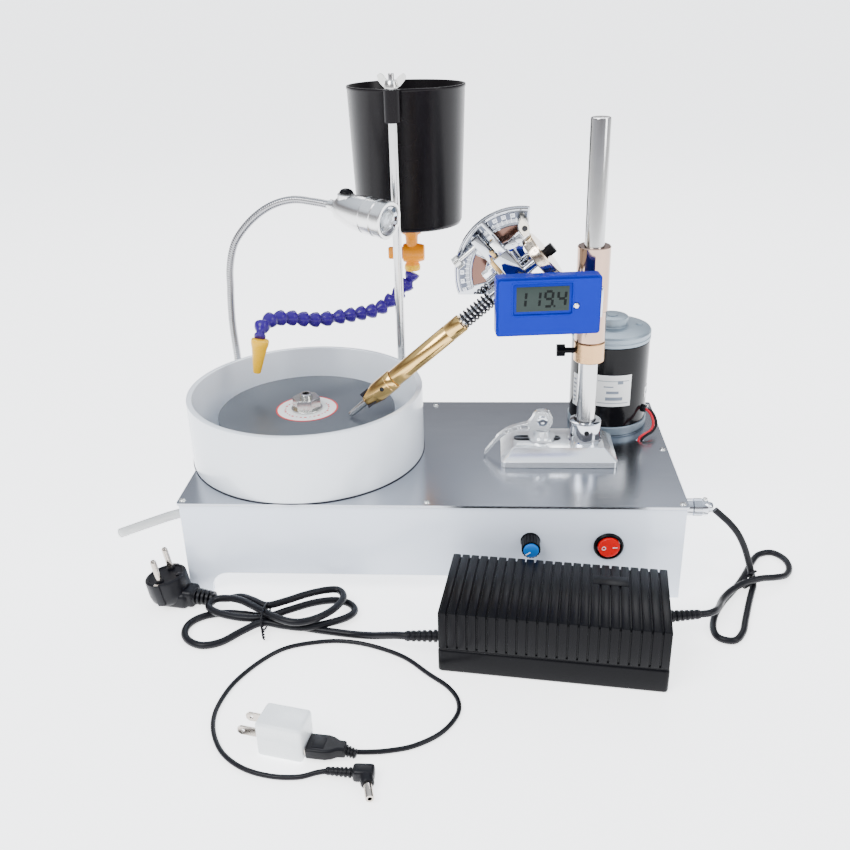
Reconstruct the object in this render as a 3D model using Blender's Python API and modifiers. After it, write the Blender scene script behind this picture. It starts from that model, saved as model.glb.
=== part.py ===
"""Faceting machine with its water tank, lamp and power leads, as separate named parts.

Frame: +Z up, +X to the operator's right, the operator stands at -Y. Lengths are in metres.
Places are given from the middle of the top plate, at floor height; the last step moves the whole
machine so that the origin is the middle of its footprint.
"""
import bpy
import bmesh
from math import atan2, asin, ceil, cos, degrees, hypot, pi, radians, sin
from mathutils import Matrix, Vector

# ---------------------------------------------------------------- driving dimensions
GAP = 0.0003                       # clearance between touching parts
PLATE = (0.400, 0.200, 0.002)      # top plate: length, depth, thickness
PLATE_TOP = 0.084                  # height of the plate's upper face
PANEL_THICK = 0.005
PANEL_INSET = 0.0015               # from the plate's edge to the panel's face
ARCH_FOOT = 0.0185                 # width of each foot beside the arch
ARCH_HEIGHT = 0.0185

LAP_CENTRE = (-0.1095, 0.0)
BASIN_RADIUS = 0.100
BASIN_WALL = 0.005
BASIN_TOP = 0.142
LAP_RADIUS = 0.0757
LAP_TOP = 0.1217
LAP_THICK = 0.0062
STUD_RADIUS = 0.005

MOTOR_CENTRE = (0.1544, 0.0603)
MOTOR_RADIUS = 0.0342
PULLEY_BOTTOM = 0.034
LAP_PULLEY = 0.028                 # groove radii of the two pulleys
MOTOR_PULLEY = 0.014
RIM_RISE = 0.003

MAST_CENTRE = (0.128, -0.0075)
MAST_RADIUS = 0.0077
MAST_TOP = 0.3595
BASE_MIN = (0.0570, -0.0365)
BASE_SIZE = (0.096, 0.058, 0.0137)
BASE_SIDE = 0.0057
BASE_CHAMFER = 0.0105
BASE_TOP = PLATE_TOP + GAP + BASE_SIZE[2]
CLAMP_X = 0.0915
CAM_HEIGHT = 0.1172

QUILL_Y = -0.018                   # the quill tilts in this plane
PIVOT = (0.071, QUILL_Y, 0.2446)
QUILL_SLOPE = radians(40.58)       # below the horizontal, at rest
PIVOT_TO_TIP = 0.1874
WHEEL_RADIUS = 0.019
FAN_RADIUS = 0.0519
FAN_DROP = 0.0025
FAN_FRONT = -0.006
FAN_THICK = 0.005
FAN_POCKET = 0.0035

DISPLAY_MIN = (0.0509, -0.053, 0.206)
DISPLAY_SIZE = (0.0796, 0.014, 0.0457)
DISPLAY_TURN = radians(6.0)

ROD_CENTRE = (-0.0342, 0.085)
ROD_RADIUS = 0.0039
TANK_CENTRE = (-0.0263, 0.135)
TANK_BOTTOM = 0.250
TANK_TOP = 0.372
TANK_HALF_WIDTH = 0.0525
TANK_FLATTEN = 0.857               # depth of the oval over its width
VALVE_CENTRE = (-0.0253, 0.135, 0.222)

LAMP_REAR = (-0.0899, 0.070, 0.2815)
LAMP_FRONT = (-0.0355, 0.036, 0.2748)
LAMP_RADIUS = 0.0158

ADAPTER_CENTRE = (0.095, -0.165)
ADAPTER_SIZE = (0.162, 0.077, 0.052)
ADAPTER_TURN = radians(-6.8)

KNOB_PLACE = (0.0794, 0.0522)      # x and z on the front panel
SWITCH_PLACE = (0.1404, 0.0482)
SOCKET_PLACE = (-0.065, 0.0646)    # y and z on the right panel
DRAIN_PLACE = (-0.084, 0.0676)     # y and z on the left panel
LEADS_HOLE = (0.179, 0.0174)

# Routes of the tubes and leads, from one end to the other
HOSE_UPPER_ROUTE = [(-0.0254, 0.135, 0.2022), (-0.0268, 0.1345, 0.1972), (-0.0320, 0.132, 0.1905),
                    (-0.0420, 0.126, 0.1825), (-0.0510, 0.120, 0.1755), (-0.0614, 0.113, 0.1725),
                    (-0.0746, 0.105, 0.1722), (-0.0877, 0.097, 0.1726), (-0.0990, 0.090, 0.1728)]
HOSE_LOWER_ROUTE = [(-0.1008, 0.0888, 0.1730), (-0.1127, 0.081, 0.1745), (-0.1235, 0.073, 0.1782),
                    (-0.1341, 0.065, 0.1820), (-0.1434, 0.056, 0.1843), (-0.1500, 0.046, 0.1842),
                    (-0.1522, 0.0405, 0.1828)]
NOZZLE_TOP = (-0.1520, 0.0310, 0.1742)
NOZZLE_TIP = (-0.1574, 0.0280, 0.1437)
LAMP_LOWER_ROUTE = [(-0.1895, 0.087, 0.090), (-0.1895, 0.087, 0.110), (-0.1898, 0.087, 0.136),
                    (-0.1908, 0.087, 0.167), (-0.1900, 0.087, 0.190), (-0.1890, 0.087, 0.203)]
LAMP_UPPER_ROUTE = [(-0.1887, 0.087, 0.2055), (-0.1877, 0.087, 0.2192), (-0.1838, 0.0866, 0.236),
                    (-0.1770, 0.086, 0.2500), (-0.1618, 0.084, 0.2665), (-0.1430, 0.081, 0.2790),
                    (-0.1228, 0.078, 0.2846), (-0.1034, 0.0742, 0.2832), (-0.0906, 0.0704, 0.2816)]
MOTOR_LEADS_ROUTE = [(0.1864, 0.0420, 0.101), (0.1920, 0.038, 0.098), (0.1936, 0.031, 0.092),
                     (0.1885, 0.0225, 0.0895), (0.1815, 0.0180, 0.0880), (0.1790, 0.0174, 0.0825),
                     (0.1790, 0.0174, 0.074)]
DRAIN_ROUTE = [(-0.1890, -0.084, 0.0692), (-0.1985, -0.084, 0.0672), (-0.2120, -0.084, 0.0633),
               (-0.2310, -0.084, 0.0563), (-0.2564, -0.084, 0.0465)]
DC_ROUTE = [(0.2282, -0.065, 0.0620), (0.2335, -0.066, 0.0575), (0.2408, -0.068, 0.0510),
            (0.2480, -0.0695, 0.0420), (0.2540, -0.071, 0.0300), (0.2585, -0.0735, 0.0165),
            (0.2610, -0.0780, 0.0070), (0.2605, -0.0850, 0.0032), (0.2565, -0.0950, 0.0030),
            (0.2500, -0.1120, 0.0030), (0.2435, -0.1300, 0.0030), (0.2375, -0.1460, 0.0030),
            (0.2290, -0.1560, 0.0030), (0.2185, -0.1530, 0.0030), (0.2165, -0.1420, 0.0030),
            (0.2215, -0.1250, 0.0030), (0.2310, -0.1080, 0.0030), (0.2420, -0.0930, 0.0030),
            (0.2510, -0.0800, 0.0030), (0.2590, -0.0665, 0.0030), (0.2670, -0.0520, 0.0030),
            (0.2760, -0.0390, 0.0030), (0.2880, -0.0350, 0.0030), (0.2960, -0.0440, 0.0030),
            (0.2965, -0.0580, 0.0032), (0.2900, -0.0710, 0.0045), (0.2790, -0.0790, 0.0075),
            (0.2660, -0.0840, 0.0096), (0.2530, -0.0900, 0.0098), (0.2410, -0.0990, 0.0098),
            (0.2320, -0.1095, 0.0102), (0.2262, -0.1200, 0.0120), (0.2220, -0.1310, 0.0152),
            (0.2170, -0.1400, 0.0182), (0.2108, -0.1454, 0.0197), (0.2050, -0.1470, 0.0200)]
MAINS_ROUTE = [(-0.0137, -0.1760, 0.0178), (-0.0205, -0.1738, 0.0165), (-0.0300, -0.1690, 0.0125),
               (-0.0410, -0.1640, 0.0075), (-0.0550, -0.1575, 0.0034), (-0.0680, -0.1535, 0.0030),
               (-0.0800, -0.1503, 0.0030)]
MAINS_HANK_CIRCLES = [(-0.167, -0.153, 0.021), (-0.078, -0.125, 0.021), (-0.1615, -0.1260, 0.0065)]
MAINS_HANK_HEIGHT = 0.016
USB_ROUTE = [(-0.0415, -0.2790, 0.0050), (-0.0330, -0.2775, 0.0034), (-0.0189, -0.2745, 0.0020),
             (-0.0018, -0.2694, 0.0020), (0.0151, -0.2573, 0.0020), (0.0252, -0.2404, 0.0020),
             (0.0256, -0.2260, 0.0020), (0.0180, -0.2120, 0.0020), (0.0035, -0.1985, 0.0020),
             (-0.0146, -0.1812, 0.0020), (-0.0358, -0.1700, 0.0020), (-0.0566, -0.1640, 0.0020),
             (-0.0771, -0.1640, 0.0020), (-0.1031, -0.1715, 0.0020), (-0.1198, -0.1868, 0.0020),
             (-0.1341, -0.2108, 0.0020), (-0.1399, -0.2333, 0.0020), (-0.1397, -0.2507, 0.0020),
             (-0.1341, -0.2673, 0.0020), (-0.1239, -0.2820, 0.0020), (-0.1083, -0.2931, 0.0020),
             (-0.0901, -0.2985, 0.0020), (-0.0729, -0.2990, 0.0024), (-0.0610, -0.2966, 0.0042),
             (-0.0545, -0.2958, 0.0049)]
PLUG_CENTRE = (-0.2085, -0.1130)
PLUG_TURN = radians(-10.0)
PLUG_LEAN = radians(10.0)
CHARGER_CENTRE = (-0.0855, -0.2721)
CHARGER_TURN = radians(-12.5)
USB_PLUG_PLACE = (-0.0715, -0.2765)
USB_PLUG_TURN = radians(-6.0)

# Cord radii
HOSE_RADIUS = 0.006
NECK_RADIUS = 0.0034
DC_RADIUS = 0.0027
MAINS_RADIUS = 0.0029
USB_RADIUS = 0.0018
DRAIN_RADIUS = 0.004

# Nodes that lie on the bench and are left out of the machine's own footprint
CORD_NODES = {"drain_hose", "dc_plug", "dc_cable", "power_adapter", "mains_lead", "mains_hank",
              "mains_plug", "usb_charger", "usb_lead", "lamp_jack"}

X_AXIS = Matrix.Rotation(pi / 2, 4, "Y")          # turns local +Z to +X
FRONT_AXIS = Matrix.Rotation(pi / 2, 4, "X")      # turns local +Z to -Y


# ---------------------------------------------------------------- scene and helpers
def clear_scene():
    """Remove whatever the file opened with."""
    for old in list(bpy.data.objects):
        bpy.data.objects.remove(old, do_unlink=True)


def make_collection(name):
    group = bpy.data.collections.new(name)
    bpy.context.scene.collection.children.link(group)
    return group


def make_material(name, colour, roughness, metallic=0.0, alpha=1.0):
    mat = bpy.data.materials.new(name)
    mat.use_nodes = True
    shader = mat.node_tree.nodes["Principled BSDF"]
    shader.inputs["Base Color"].default_value = (*colour, 1.0)
    shader.inputs["Roughness"].default_value = roughness
    shader.inputs["Metallic"].default_value = metallic
    shader.inputs["Alpha"].default_value = alpha
    mat.diffuse_color = (*colour, alpha)
    return mat


clear_scene()
PARTS = make_collection("faceting_machine")
GUIDES = make_collection("cutters")

ACRYLIC = make_material("milky_acrylic", (0.86, 0.90, 0.95), 0.25)
BRUSHED = make_material("brushed_aluminium", (0.66, 0.69, 0.74), 0.3, 1.0)
SATIN = make_material("satin_aluminium", (0.80, 0.80, 0.80), 0.35, 1.0)
WHITE = make_material("white_plastic", (0.88, 0.92, 0.97), 0.22)
LAP_GREY = make_material("lap_grey", (0.25, 0.29, 0.34), 0.5, 0.6)
ZINC = make_material("zinc", (0.62, 0.62, 0.58), 0.35, 1.0)
STEEL = make_material("steel", (0.58, 0.60, 0.62), 0.25, 1.0)
CHROME = make_material("chrome", (0.82, 0.84, 0.86), 0.06, 1.0)
NICKEL = make_material("champagne_nickel", (0.78, 0.70, 0.56), 0.2, 1.0)
BRASS = make_material("brass", (0.72, 0.60, 0.38), 0.22, 1.0)
BLACK = make_material("black_plastic", (0.015, 0.015, 0.017), 0.4)
RUBBER = make_material("black_rubber", (0.02, 0.02, 0.022), 0.55)
MOTOR_BLACK = make_material("motor_black", (0.012, 0.012, 0.013), 0.25)
CASTING = make_material("grey_casting", (0.42, 0.48, 0.54), 0.45, 0.7)
BLUE = make_material("blue_plastic", (0.01, 0.09, 0.55), 0.3)
RED = make_material("red_plastic", (0.75, 0.03, 0.02), 0.25)
ORANGE = make_material("orange_plastic", (0.95, 0.42, 0.02), 0.3)
HOSE_BLUE = make_material("hose_blue", (0.10, 0.06, 0.42), 0.3)
YELLOW = make_material("yellow_plastic", (0.98, 0.72, 0.02), 0.3)
CLEAR = make_material("clear_vinyl", (0.85, 0.88, 0.90), 0.1, 0.0, 0.4)


def add_object(name, data, mat, frame=None, guide=False):
    """Link one mesh or curve as a named part, or as a hidden guide for a Boolean."""
    obj = bpy.data.objects.new(name, data)
    (GUIDES if guide else PARTS).objects.link(obj)
    if mat is not None:
        data.materials.append(mat)
    if frame is not None:
        obj.matrix_world = frame
    if guide:
        obj.hide_render = True
        obj.display_type = "WIRE"
    return obj


def at(x, y, z):
    return Matrix.Translation((x, y, z))


def along(start, end):
    """A frame at start whose +Z points to end."""
    start, end = Vector(start), Vector(end)
    turn = (end - start).to_track_quat("Z", "Y")
    return Matrix.Translation(start) @ turn.to_matrix().to_4x4()


def mesh_from(bm, name):
    mesh = bpy.data.meshes.new(name)
    bm.to_mesh(mesh)
    bm.free()
    return mesh


def block(name, low, high, mat=None, bevel=0.0, frame=None, guide=False, segments=1):
    """A box between two corners, with all its edges bevelled if asked."""
    low, high = Vector(low), Vector(high)
    bm = bmesh.new()
    bmesh.ops.create_cube(bm, size=1.0)
    bmesh.ops.scale(bm, vec=high - low, verts=bm.verts)
    bmesh.ops.translate(bm, vec=(high + low) / 2, verts=bm.verts)
    if bevel:
        bmesh.ops.bevel(bm, geom=list(bm.edges), offset=bevel, segments=segments, affect="EDGES")
    return add_object(name, mesh_from(bm, name), mat, frame, guide)


def rod(name, radius, low, high, mat=None, frame=None, guide=False, segments=20):
    """A cylinder on the frame's Z axis, from height low to height high."""
    bm = bmesh.new()
    bmesh.ops.create_cone(bm, cap_ends=True, segments=segments, radius1=radius, radius2=radius,
                          depth=high - low)
    bmesh.ops.translate(bm, vec=(0, 0, (high + low) / 2), verts=bm.verts)
    return add_object(name, mesh_from(bm, name), mat, frame, guide)


def turned(name, profile, mat=None, frame=None, steps=20, guide=False):
    """A profile of (radius, height) pairs turned about Z.

    The profile runs down its outer side. It starts and ends on the axis, or it is a closed ring.
    """
    bm = bmesh.new()
    verts = [bm.verts.new((radius, 0.0, height)) for radius, height in profile]
    for first, second in zip(verts, verts[1:]):
        bm.edges.new((first, second))
    if profile[0][0] > 0:
        bm.edges.new((verts[-1], verts[0]))
    obj = add_object(name, mesh_from(bm, name), mat, frame, guide)
    screw = obj.modifiers.new("turn", "SCREW")
    screw.steps = steps
    screw.render_steps = steps
    screw.use_merge_vertices = True
    screw.merge_threshold = 0.00001
    return obj


def outline(name, loops, thickness, mat=None, frame=None, guide=False):
    """A flat plate from closed loops of (x, y) points; every loop after the first is a hole."""
    curve = bpy.data.curves.new(name, "CURVE")
    curve.dimensions = "2D"
    curve.fill_mode = "BOTH"
    curve.extrude = thickness / 2
    for loop in loops:
        spline = curve.splines.new("POLY")
        spline.points.add(len(loop) - 1)
        for point, (x, y) in zip(spline.points, loop):
            point.co = (x, y, 0.0, 1.0)
        spline.use_cyclic_u = True
    return add_object(name, curve, mat, frame, guide)


def smooth_route(points, spacing):
    """Points a set distance apart along a smooth curve through the route's own points."""
    nodes = [Vector(p) for p in points]
    nodes = [nodes[0] * 2 - nodes[1]] + nodes + [nodes[-1] * 2 - nodes[-2]]
    fine = []
    for a, b, c, d in zip(nodes, nodes[1:], nodes[2:], nodes[3:]):
        for step in range(12):
            t = step / 12
            fine.append(0.5 * ((2 * b) + (c - a) * t + (2 * a - 5 * b + 4 * c - d) * t * t
                               + (3 * b - a - 3 * c + d) * t * t * t))
    fine.append(nodes[-2])
    length = sum((q - p).length for p, q in zip(fine, fine[1:]))
    count = max(2, ceil(length / spacing))
    route = [fine[0]]
    travelled, target = 0.0, length / count
    for p, q in zip(fine, fine[1:]):
        piece = (q - p).length
        while travelled + piece >= target - 1e-9 and len(route) < count:
            route.append(p.lerp(q, (target - travelled) / piece))
            target += length / count
        travelled += piece
    route.append(fine[-1])
    return route


def tube(name, points, radius, mat=None, sides=2, guide=False):
    """A solid round tube along points already in their final places."""
    curve = bpy.data.curves.new(name, "CURVE")
    curve.dimensions = "3D"
    curve.bevel_depth = radius
    curve.bevel_resolution = sides
    curve.use_fill_caps = True
    spline = curve.splines.new("POLY")
    spline.points.add(len(points) - 1)
    for point, place in zip(spline.points, points):
        point.co = (*place, 1.0)
    return add_object(name, curve, mat, None, guide)


def as_mesh(obj):
    """Replace a curve object by its closed mesh, so that a Boolean can use it."""
    bpy.context.view_layer.update()
    graph = bpy.context.evaluated_depsgraph_get()
    mesh = bpy.data.meshes.new_from_object(obj.evaluated_get(graph))
    bm = bmesh.new()
    bm.from_mesh(mesh)
    bmesh.ops.remove_doubles(bm, verts=bm.verts, dist=0.000001)
    bm.to_mesh(mesh)
    bm.free()
    name, frame, guide = obj.name, obj.matrix_world.copy(), obj.hide_render
    bpy.data.objects.remove(obj, do_unlink=True)
    return add_object(name, mesh, None, frame, guide)


def boolean(target, tool, operation):
    modifier = target.modifiers.new(operation.lower(), "BOOLEAN")
    modifier.operation = operation
    modifier.solver = "EXACT"
    modifier.object = tool
    return target


def join(target, *tools):
    for tool in tools:
        boolean(target, tool, "UNION")
    return target


def cut(target, *tools):
    for tool in tools:
        boolean(target, tool, "DIFFERENCE")
    return target


def arc(cx, cy, radius, start, end, count):
    """Points on an arc, angles in degrees."""
    angles = [radians(start + (end - start) * i / (count - 1)) for i in range(count)]
    return [(cx + radius * cos(a), cy + radius * sin(a)) for a in angles]


def circle(cx, cy, radius, count=20):
    return arc(cx, cy, radius, 0, 360 - 360 / count, count)


def rounded_box(x0, y0, x1, y1, radius, count=4):
    return (arc(x1 - radius, y0 + radius, radius, -90, 0, count)
            + arc(x1 - radius, y1 - radius, radius, 0, 90, count)
            + arc(x0 + radius, y1 - radius, radius, 90, 180, count)
            + arc(x0 + radius, y0 + radius, radius, 180, 270, count))


def hull(points):
    """The convex outline around flat points, counter-clockwise."""
    points = sorted(set(points))

    def half(sequence):
        chain = []
        for p in sequence:
            while len(chain) > 1 and ((chain[-1][0] - chain[-2][0]) * (p[1] - chain[-2][1])
                                      - (chain[-1][1] - chain[-2][1]) * (p[0] - chain[-2][0])) <= 0:
                chain.pop()
            chain.append(p)
        return chain[:-1]

    return half(points) + half(reversed(points))


# ---------------------------------------------------------------- chassis
def arched_outline():
    """The front and rear panels: a rectangle with a wide round-cornered arch for feet."""
    half = PLATE[0] / 2 - PANEL_INSET
    inner = half - ARCH_FOOT
    top = PLATE_TOP - PLATE[2] - GAP
    radius = 0.014
    spring = ARCH_HEIGHT - radius
    points = [(-half, 0.0), (-inner, 0.0), (-inner, spring)]
    points += arc(-inner + radius, spring, radius, 180, 90, 6)[1:]
    points += arc(inner - radius, spring, radius, 90, 0, 6)
    points += [(inner, 0.0), (half, 0.0), (half, top), (-half, top)]
    return points


def build_chassis():
    half_x, half_y = PLATE[0] / 2, PLATE[1] / 2
    wall = PANEL_THICK / 2
    upright = Matrix.Rotation(pi / 2, 4, "X")
    front_y = -half_y + PANEL_INSET + wall
    knob_hole = circle(*KNOB_PLACE, 0.0038, 16)
    switch_hole = circle(*SWITCH_PLACE, 0.0104, 24)
    outline("front_panel", [arched_outline(), knob_hole, switch_hole], PANEL_THICK, ACRYLIC,
            at(0, front_y, 0) @ upright)
    outline("rear_panel", [arched_outline()], PANEL_THICK, ACRYLIC, at(0, -front_y, 0) @ upright)
    side_half = half_y - PANEL_INSET - PANEL_THICK - GAP
    top = PLATE_TOP - PLATE[2] - GAP
    side = [(-side_half, 0.0), (side_half, 0.0), (side_half, top), (-side_half, top)]
    side_x = half_x - PANEL_INSET - wall
    edgeways = Matrix.Rotation(pi / 2, 4, "Z") @ upright
    for name, x, hole, radius in (("left_panel", -side_x, DRAIN_PLACE, 0.0052),
                                  ("right_panel", side_x, SOCKET_PLACE, 0.0063)):
        outline(name, [side, circle(*hole, radius, 16)], PANEL_THICK, ACRYLIC,
                at(x, 0, 0) @ edgeways)
    holes = [circle(*LAP_CENTRE, 0.0175, 28), circle(*MOTOR_CENTRE, 0.008, 16),
             circle(CLAMP_X, MAST_CENTRE[1], 0.0044, 14), circle(*LEADS_HOLE, 0.0035, 14)]
    plate = rounded_box(-half_x, -half_y, half_x, half_y, 0.002, 3)
    outline("top_plate", [plate] + holes, PLATE[2], BRUSHED, at(0, 0, PLATE_TOP - PLATE[2] / 2))


# ---------------------------------------------------------------- lap, basin, motor and belt
def pulley_profile(groove, top):
    """The outer side of a grooved pulley, downwards from height top to PULLEY_BOTTOM."""
    rim = groove + RIM_RISE
    return [(rim, top), (rim, top - 0.003), (groove, top - 0.003), (groove, PULLEY_BOTTOM + 0.003),
            (rim, PULLEY_BOTTOM + 0.003), (rim, PULLEY_BOTTOM), (0.0, PULLEY_BOTTOM)]


def build_lap():
    spot = at(*LAP_CENTRE, 0)
    floor = PLATE_TOP + GAP
    inner = BASIN_RADIUS - BASIN_WALL
    turned("splash_basin", [(BASIN_RADIUS, BASIN_TOP), (BASIN_RADIUS, floor), (0.0185, floor),
                            (0.0185, floor + 0.0025), (inner, floor + 0.0025), (inner, BASIN_TOP)],
           WHITE, spot, 48)
    turned("bearing_housing", [(0.0165, 0.100), (0.0165, 0.0816), (0.027, 0.0816), (0.027, 0.076),
                               (0.015, 0.076), (0.015, 0.056), (0.007, 0.056), (0.007, 0.100)],
           CASTING, spot, 20)
    pulley_top = PULLEY_BOTTOM + 0.013
    seat = LAP_TOP - LAP_THICK - GAP
    turned("lap_arbor", [(0.0, 0.128), (0.003, 0.128), (0.003, 0.136), (STUD_RADIUS, 0.136),
                         (STUD_RADIUS, seat), (0.020, seat), (0.020, seat - 0.0045),
                         (0.0065, seat - 0.010), (0.0065, pulley_top)]
           + pulley_profile(LAP_PULLEY, pulley_top), STEEL, spot, 24)
    bore = STUD_RADIUS + 0.0004
    turned("lap_disc", [(LAP_RADIUS, LAP_TOP), (LAP_RADIUS, LAP_TOP - LAP_THICK),
                        (bore, LAP_TOP - LAP_THICK), (bore, LAP_TOP)], LAP_GREY, spot, 48)
    nut = rod("lap_nut", 0.0121, LAP_TOP + 0.0020, 0.1325, ZINC, spot, segments=6)
    washer = rod("nut_washer", 0.0135, LAP_TOP + GAP, LAP_TOP + 0.0025, None, spot, True, 28)
    stud_hole = rod("nut_bore", bore, 0.115, 0.140, None, spot, True, 20)
    cut(join(nut, washer), stud_hole)


def belt_loop(r1, r2):
    """The closed line of a belt that wraps radius r1 on the lap and r2 on the motor."""
    dx = MOTOR_CENTRE[0] - LAP_CENTRE[0]
    dy = MOTOR_CENTRE[1] - LAP_CENTRE[1]
    heading = degrees(atan2(dy, dx))
    lean = degrees(asin((r1 - r2) / hypot(dx, dy)))
    start = heading + 90 - lean
    end = heading - 90 + lean
    return (arc(*LAP_CENTRE, r1, start, end + 360, 20) + arc(*MOTOR_CENTRE, r2, end, start, 12))


def build_drive():
    spot = at(*MOTOR_CENTRE, 0)
    floor = PLATE_TOP + GAP
    can_top = 0.165
    turned("motor_can", [(MOTOR_RADIUS, can_top), (MOTOR_RADIUS, 0.092), (0.035, 0.092),
                         (0.035, floor), (0.006, floor), (0.006, 0.090), (0.0315, 0.090),
                         (0.0315, can_top)], MOTOR_BLACK, spot, 28)
    turned("motor_top_cap", [(0.0, 0.1845), (0.012, 0.1845), (0.014, 0.1828), (0.014, 0.1765),
                             (0.030, 0.1752), (0.0344, 0.1728), (0.0344, can_top + GAP),
                             (0.0, can_top + GAP)], CASTING, spot, 28)
    pulley_top = PULLEY_BOTTOM + 0.013
    turned("motor_rotor", [(0.0, 0.154), (0.004, 0.154), (0.004, 0.148), (0.027, 0.148),
                           (0.027, 0.096), (0.004, 0.096), (0.004, pulley_top)]
           + pulley_profile(MOTOR_PULLEY, pulley_top), STEEL, spot, 20)
    slack = 0.0004
    thickness = 0.002
    inner = belt_loop(LAP_PULLEY + slack, MOTOR_PULLEY + slack)
    outer = belt_loop(LAP_PULLEY + slack + thickness, MOTOR_PULLEY + slack + thickness)
    outline("drive_belt", [outer, inner], 0.005, RUBBER, at(0, 0, PULLEY_BOTTOM + 0.0065))
    tube("motor_leads", smooth_route(MOTOR_LEADS_ROUTE, 0.005), 0.0018, RED)


# ---------------------------------------------------------------- front controls and power inlet
def build_controls():
    face = -PLATE[1] / 2 + PANEL_INSET
    knob = at(KNOB_PLACE[0], face, KNOB_PLACE[1]) @ FRONT_AXIS
    turned("speed_knob", [(0.0, 0.0165), (0.0054, 0.0165), (0.0062, 0.0155), (0.0066, 0.009),
                          (0.0074, 0.002), (0.0074, 0.0006), (0.003, 0.0006), (0.003, -0.008),
                          (0.0, -0.008)], BLUE, knob, 16)
    switch = at(SWITCH_PLACE[0], face, SWITCH_PLACE[1]) @ FRONT_AXIS
    turned("switch_bezel", [(0.0, -0.0125), (0.0093, -0.0125), (0.0093, 0.0018), (0.0102, 0.0024),
                            (0.0118, 0.0012), (0.0118, 0.0004), (0.0099, 0.0004),
                            (0.0099, -0.014), (0.0, -0.014)], BLACK, switch, 20)
    rocked = Matrix.Rotation(radians(7), 4, "Y")
    turned("switch_rocker", [(0.0, 0.0036), (0.005, 0.0035), (0.0086, 0.0026), (0.0086, -0.0036),
                             (0.0, -0.0036)], RED, switch @ rocked, 20)
    inlet = at(PLATE[0] / 2 - PANEL_INSET, *SOCKET_PLACE) @ X_AXIS
    turned("power_socket", [(0.0, 0.0115), (0.0070, 0.0115), (0.0070, 0.0034), (0.009, 0.0034),
                            (0.009, 0.0004), (0.0058, 0.0004), (0.0058, -0.009), (0.0, -0.009)],
           CHROME, inlet, 16)
    turned("dc_plug", [(0.0, 0.0275), (0.0036, 0.0275), (0.0046, 0.024), (0.0068, 0.023),
                       (0.0072, 0.019), (0.0072, 0.0119), (0.0, 0.0119)], CHROME, inlet, 16)


# ---------------------------------------------------------------- sliding base, clamp and mast
def build_mast():
    low = (*BASE_MIN, PLATE_TOP + GAP)
    high = (BASE_MIN[0] + BASE_SIZE[0], BASE_MIN[1] + BASE_SIZE[1], low[2] + BASE_SIDE)
    middle = ((low[0] + high[0]) / 2, (low[1] + high[1]) / 2)
    base = block("mast_base", low, high, CHROME)
    bm = bmesh.new()
    bm.from_mesh(base.data)
    lid = max(bm.faces, key=lambda face: face.calc_center_median().z)
    raised = bmesh.ops.extrude_face_region(bm, geom=[lid])["geom"]
    for vert in raised:
        if isinstance(vert, bmesh.types.BMVert):
            vert.co.x += BASE_CHAMFER if vert.co.x < middle[0] else -BASE_CHAMFER
            vert.co.y += BASE_CHAMFER if vert.co.y < middle[1] else -BASE_CHAMFER
            vert.co.z = BASE_TOP
    bmesh.ops.delete(bm, geom=[lid], context="FACES_ONLY")
    bm.to_mesh(base.data)
    bm.free()
    spot = at(*MAST_CENTRE, 0)
    socket_top = 0.1156
    socket = turned("mast_socket", [(0.0, socket_top), (0.0122, socket_top),
                                    (0.0132, socket_top - 0.001), (0.0132, 0.092), (0.0, 0.092)],
                    None, spot, 28, True)
    rod_hole = rod("rod_hole", MAST_RADIUS + GAP, BASE_TOP - 0.0005, 0.120, None, spot, True, 26)
    slot_radius = 0.0055
    slot_loop = (arc(0.1025, MAST_CENTRE[1], slot_radius, -90, 90, 9)
                 + arc(0.0729, MAST_CENTRE[1], slot_radius, 90, 270, 9))
    slot = as_mesh(outline("slot", [slot_loop], 0.030, None, at(0, 0, 0.091), True))
    cut(join(base, socket), rod_hole, slot)
    turned("mast_rod", [(0.0, MAST_TOP), (MAST_RADIUS - 0.001, MAST_TOP),
                        (MAST_RADIUS, MAST_TOP - 0.001), (MAST_RADIUS, BASE_TOP + GAP),
                        (0.0, BASE_TOP + GAP)], CHROME, spot, 20)


def build_clamp():
    spot = at(CLAMP_X, MAST_CENTRE[1], 0)
    washer_low = BASE_TOP + 0.0004
    stud = turned("clamp_stud", [(0.0, 0.1065), (0.0072, 0.1065), (0.0078, washer_low + 0.0022),
                                 (0.0114, washer_low + 0.0022), (0.0114, washer_low),
                                 (0.004, washer_low), (0.004, 0.0816), (0.008, 0.0816),
                                 (0.008, 0.075), (0.0, 0.075)], CHROME, spot, 24)
    eye = block("clamp_eye", (CLAMP_X - 0.0055, -0.0078, 0.104), (CLAMP_X + 0.0055, -0.0008, 0.1225),
                bevel=0.0015, guide=True)
    pin_frame = at(CLAMP_X, 0, CAM_HEIGHT) @ FRONT_AXIS
    eye_hole = rod("eye_hole", 0.0027, -0.003, 0.012, None, pin_frame, True, 16)
    cut(join(stud, eye), eye_hole)
    cam = rod("clamp_lever", 0.0085, 0.0085, 0.0160, CHROME, pin_frame, segments=24)
    pin = rod("clamp_pin", 0.0023, 0.0, 0.012, None, pin_frame, True, 14)
    upper = [(0.0085, 0.0040), (-0.0040, 0.0060), (-0.0130, -0.0025), (-0.0225, -0.0050),
             (-0.0294, -0.0077), (-0.0370, -0.0140), (-0.0415, -0.0203), (-0.0485, -0.0290)]
    lower = [(-0.0470, -0.0306), (-0.0410, -0.0238), (-0.0365, -0.0180), (-0.0294, -0.0122),
             (-0.0225, -0.0099), (-0.0139, -0.0097), (-0.0040, -0.0070), (0.0060, -0.0040)]
    handle = as_mesh(outline("handle", [upper + lower], 0.0064, None,
                             at(CLAMP_X, -0.01225, CAM_HEIGHT) @ FRONT_AXIS, True))
    join(cam, pin, handle)


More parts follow.
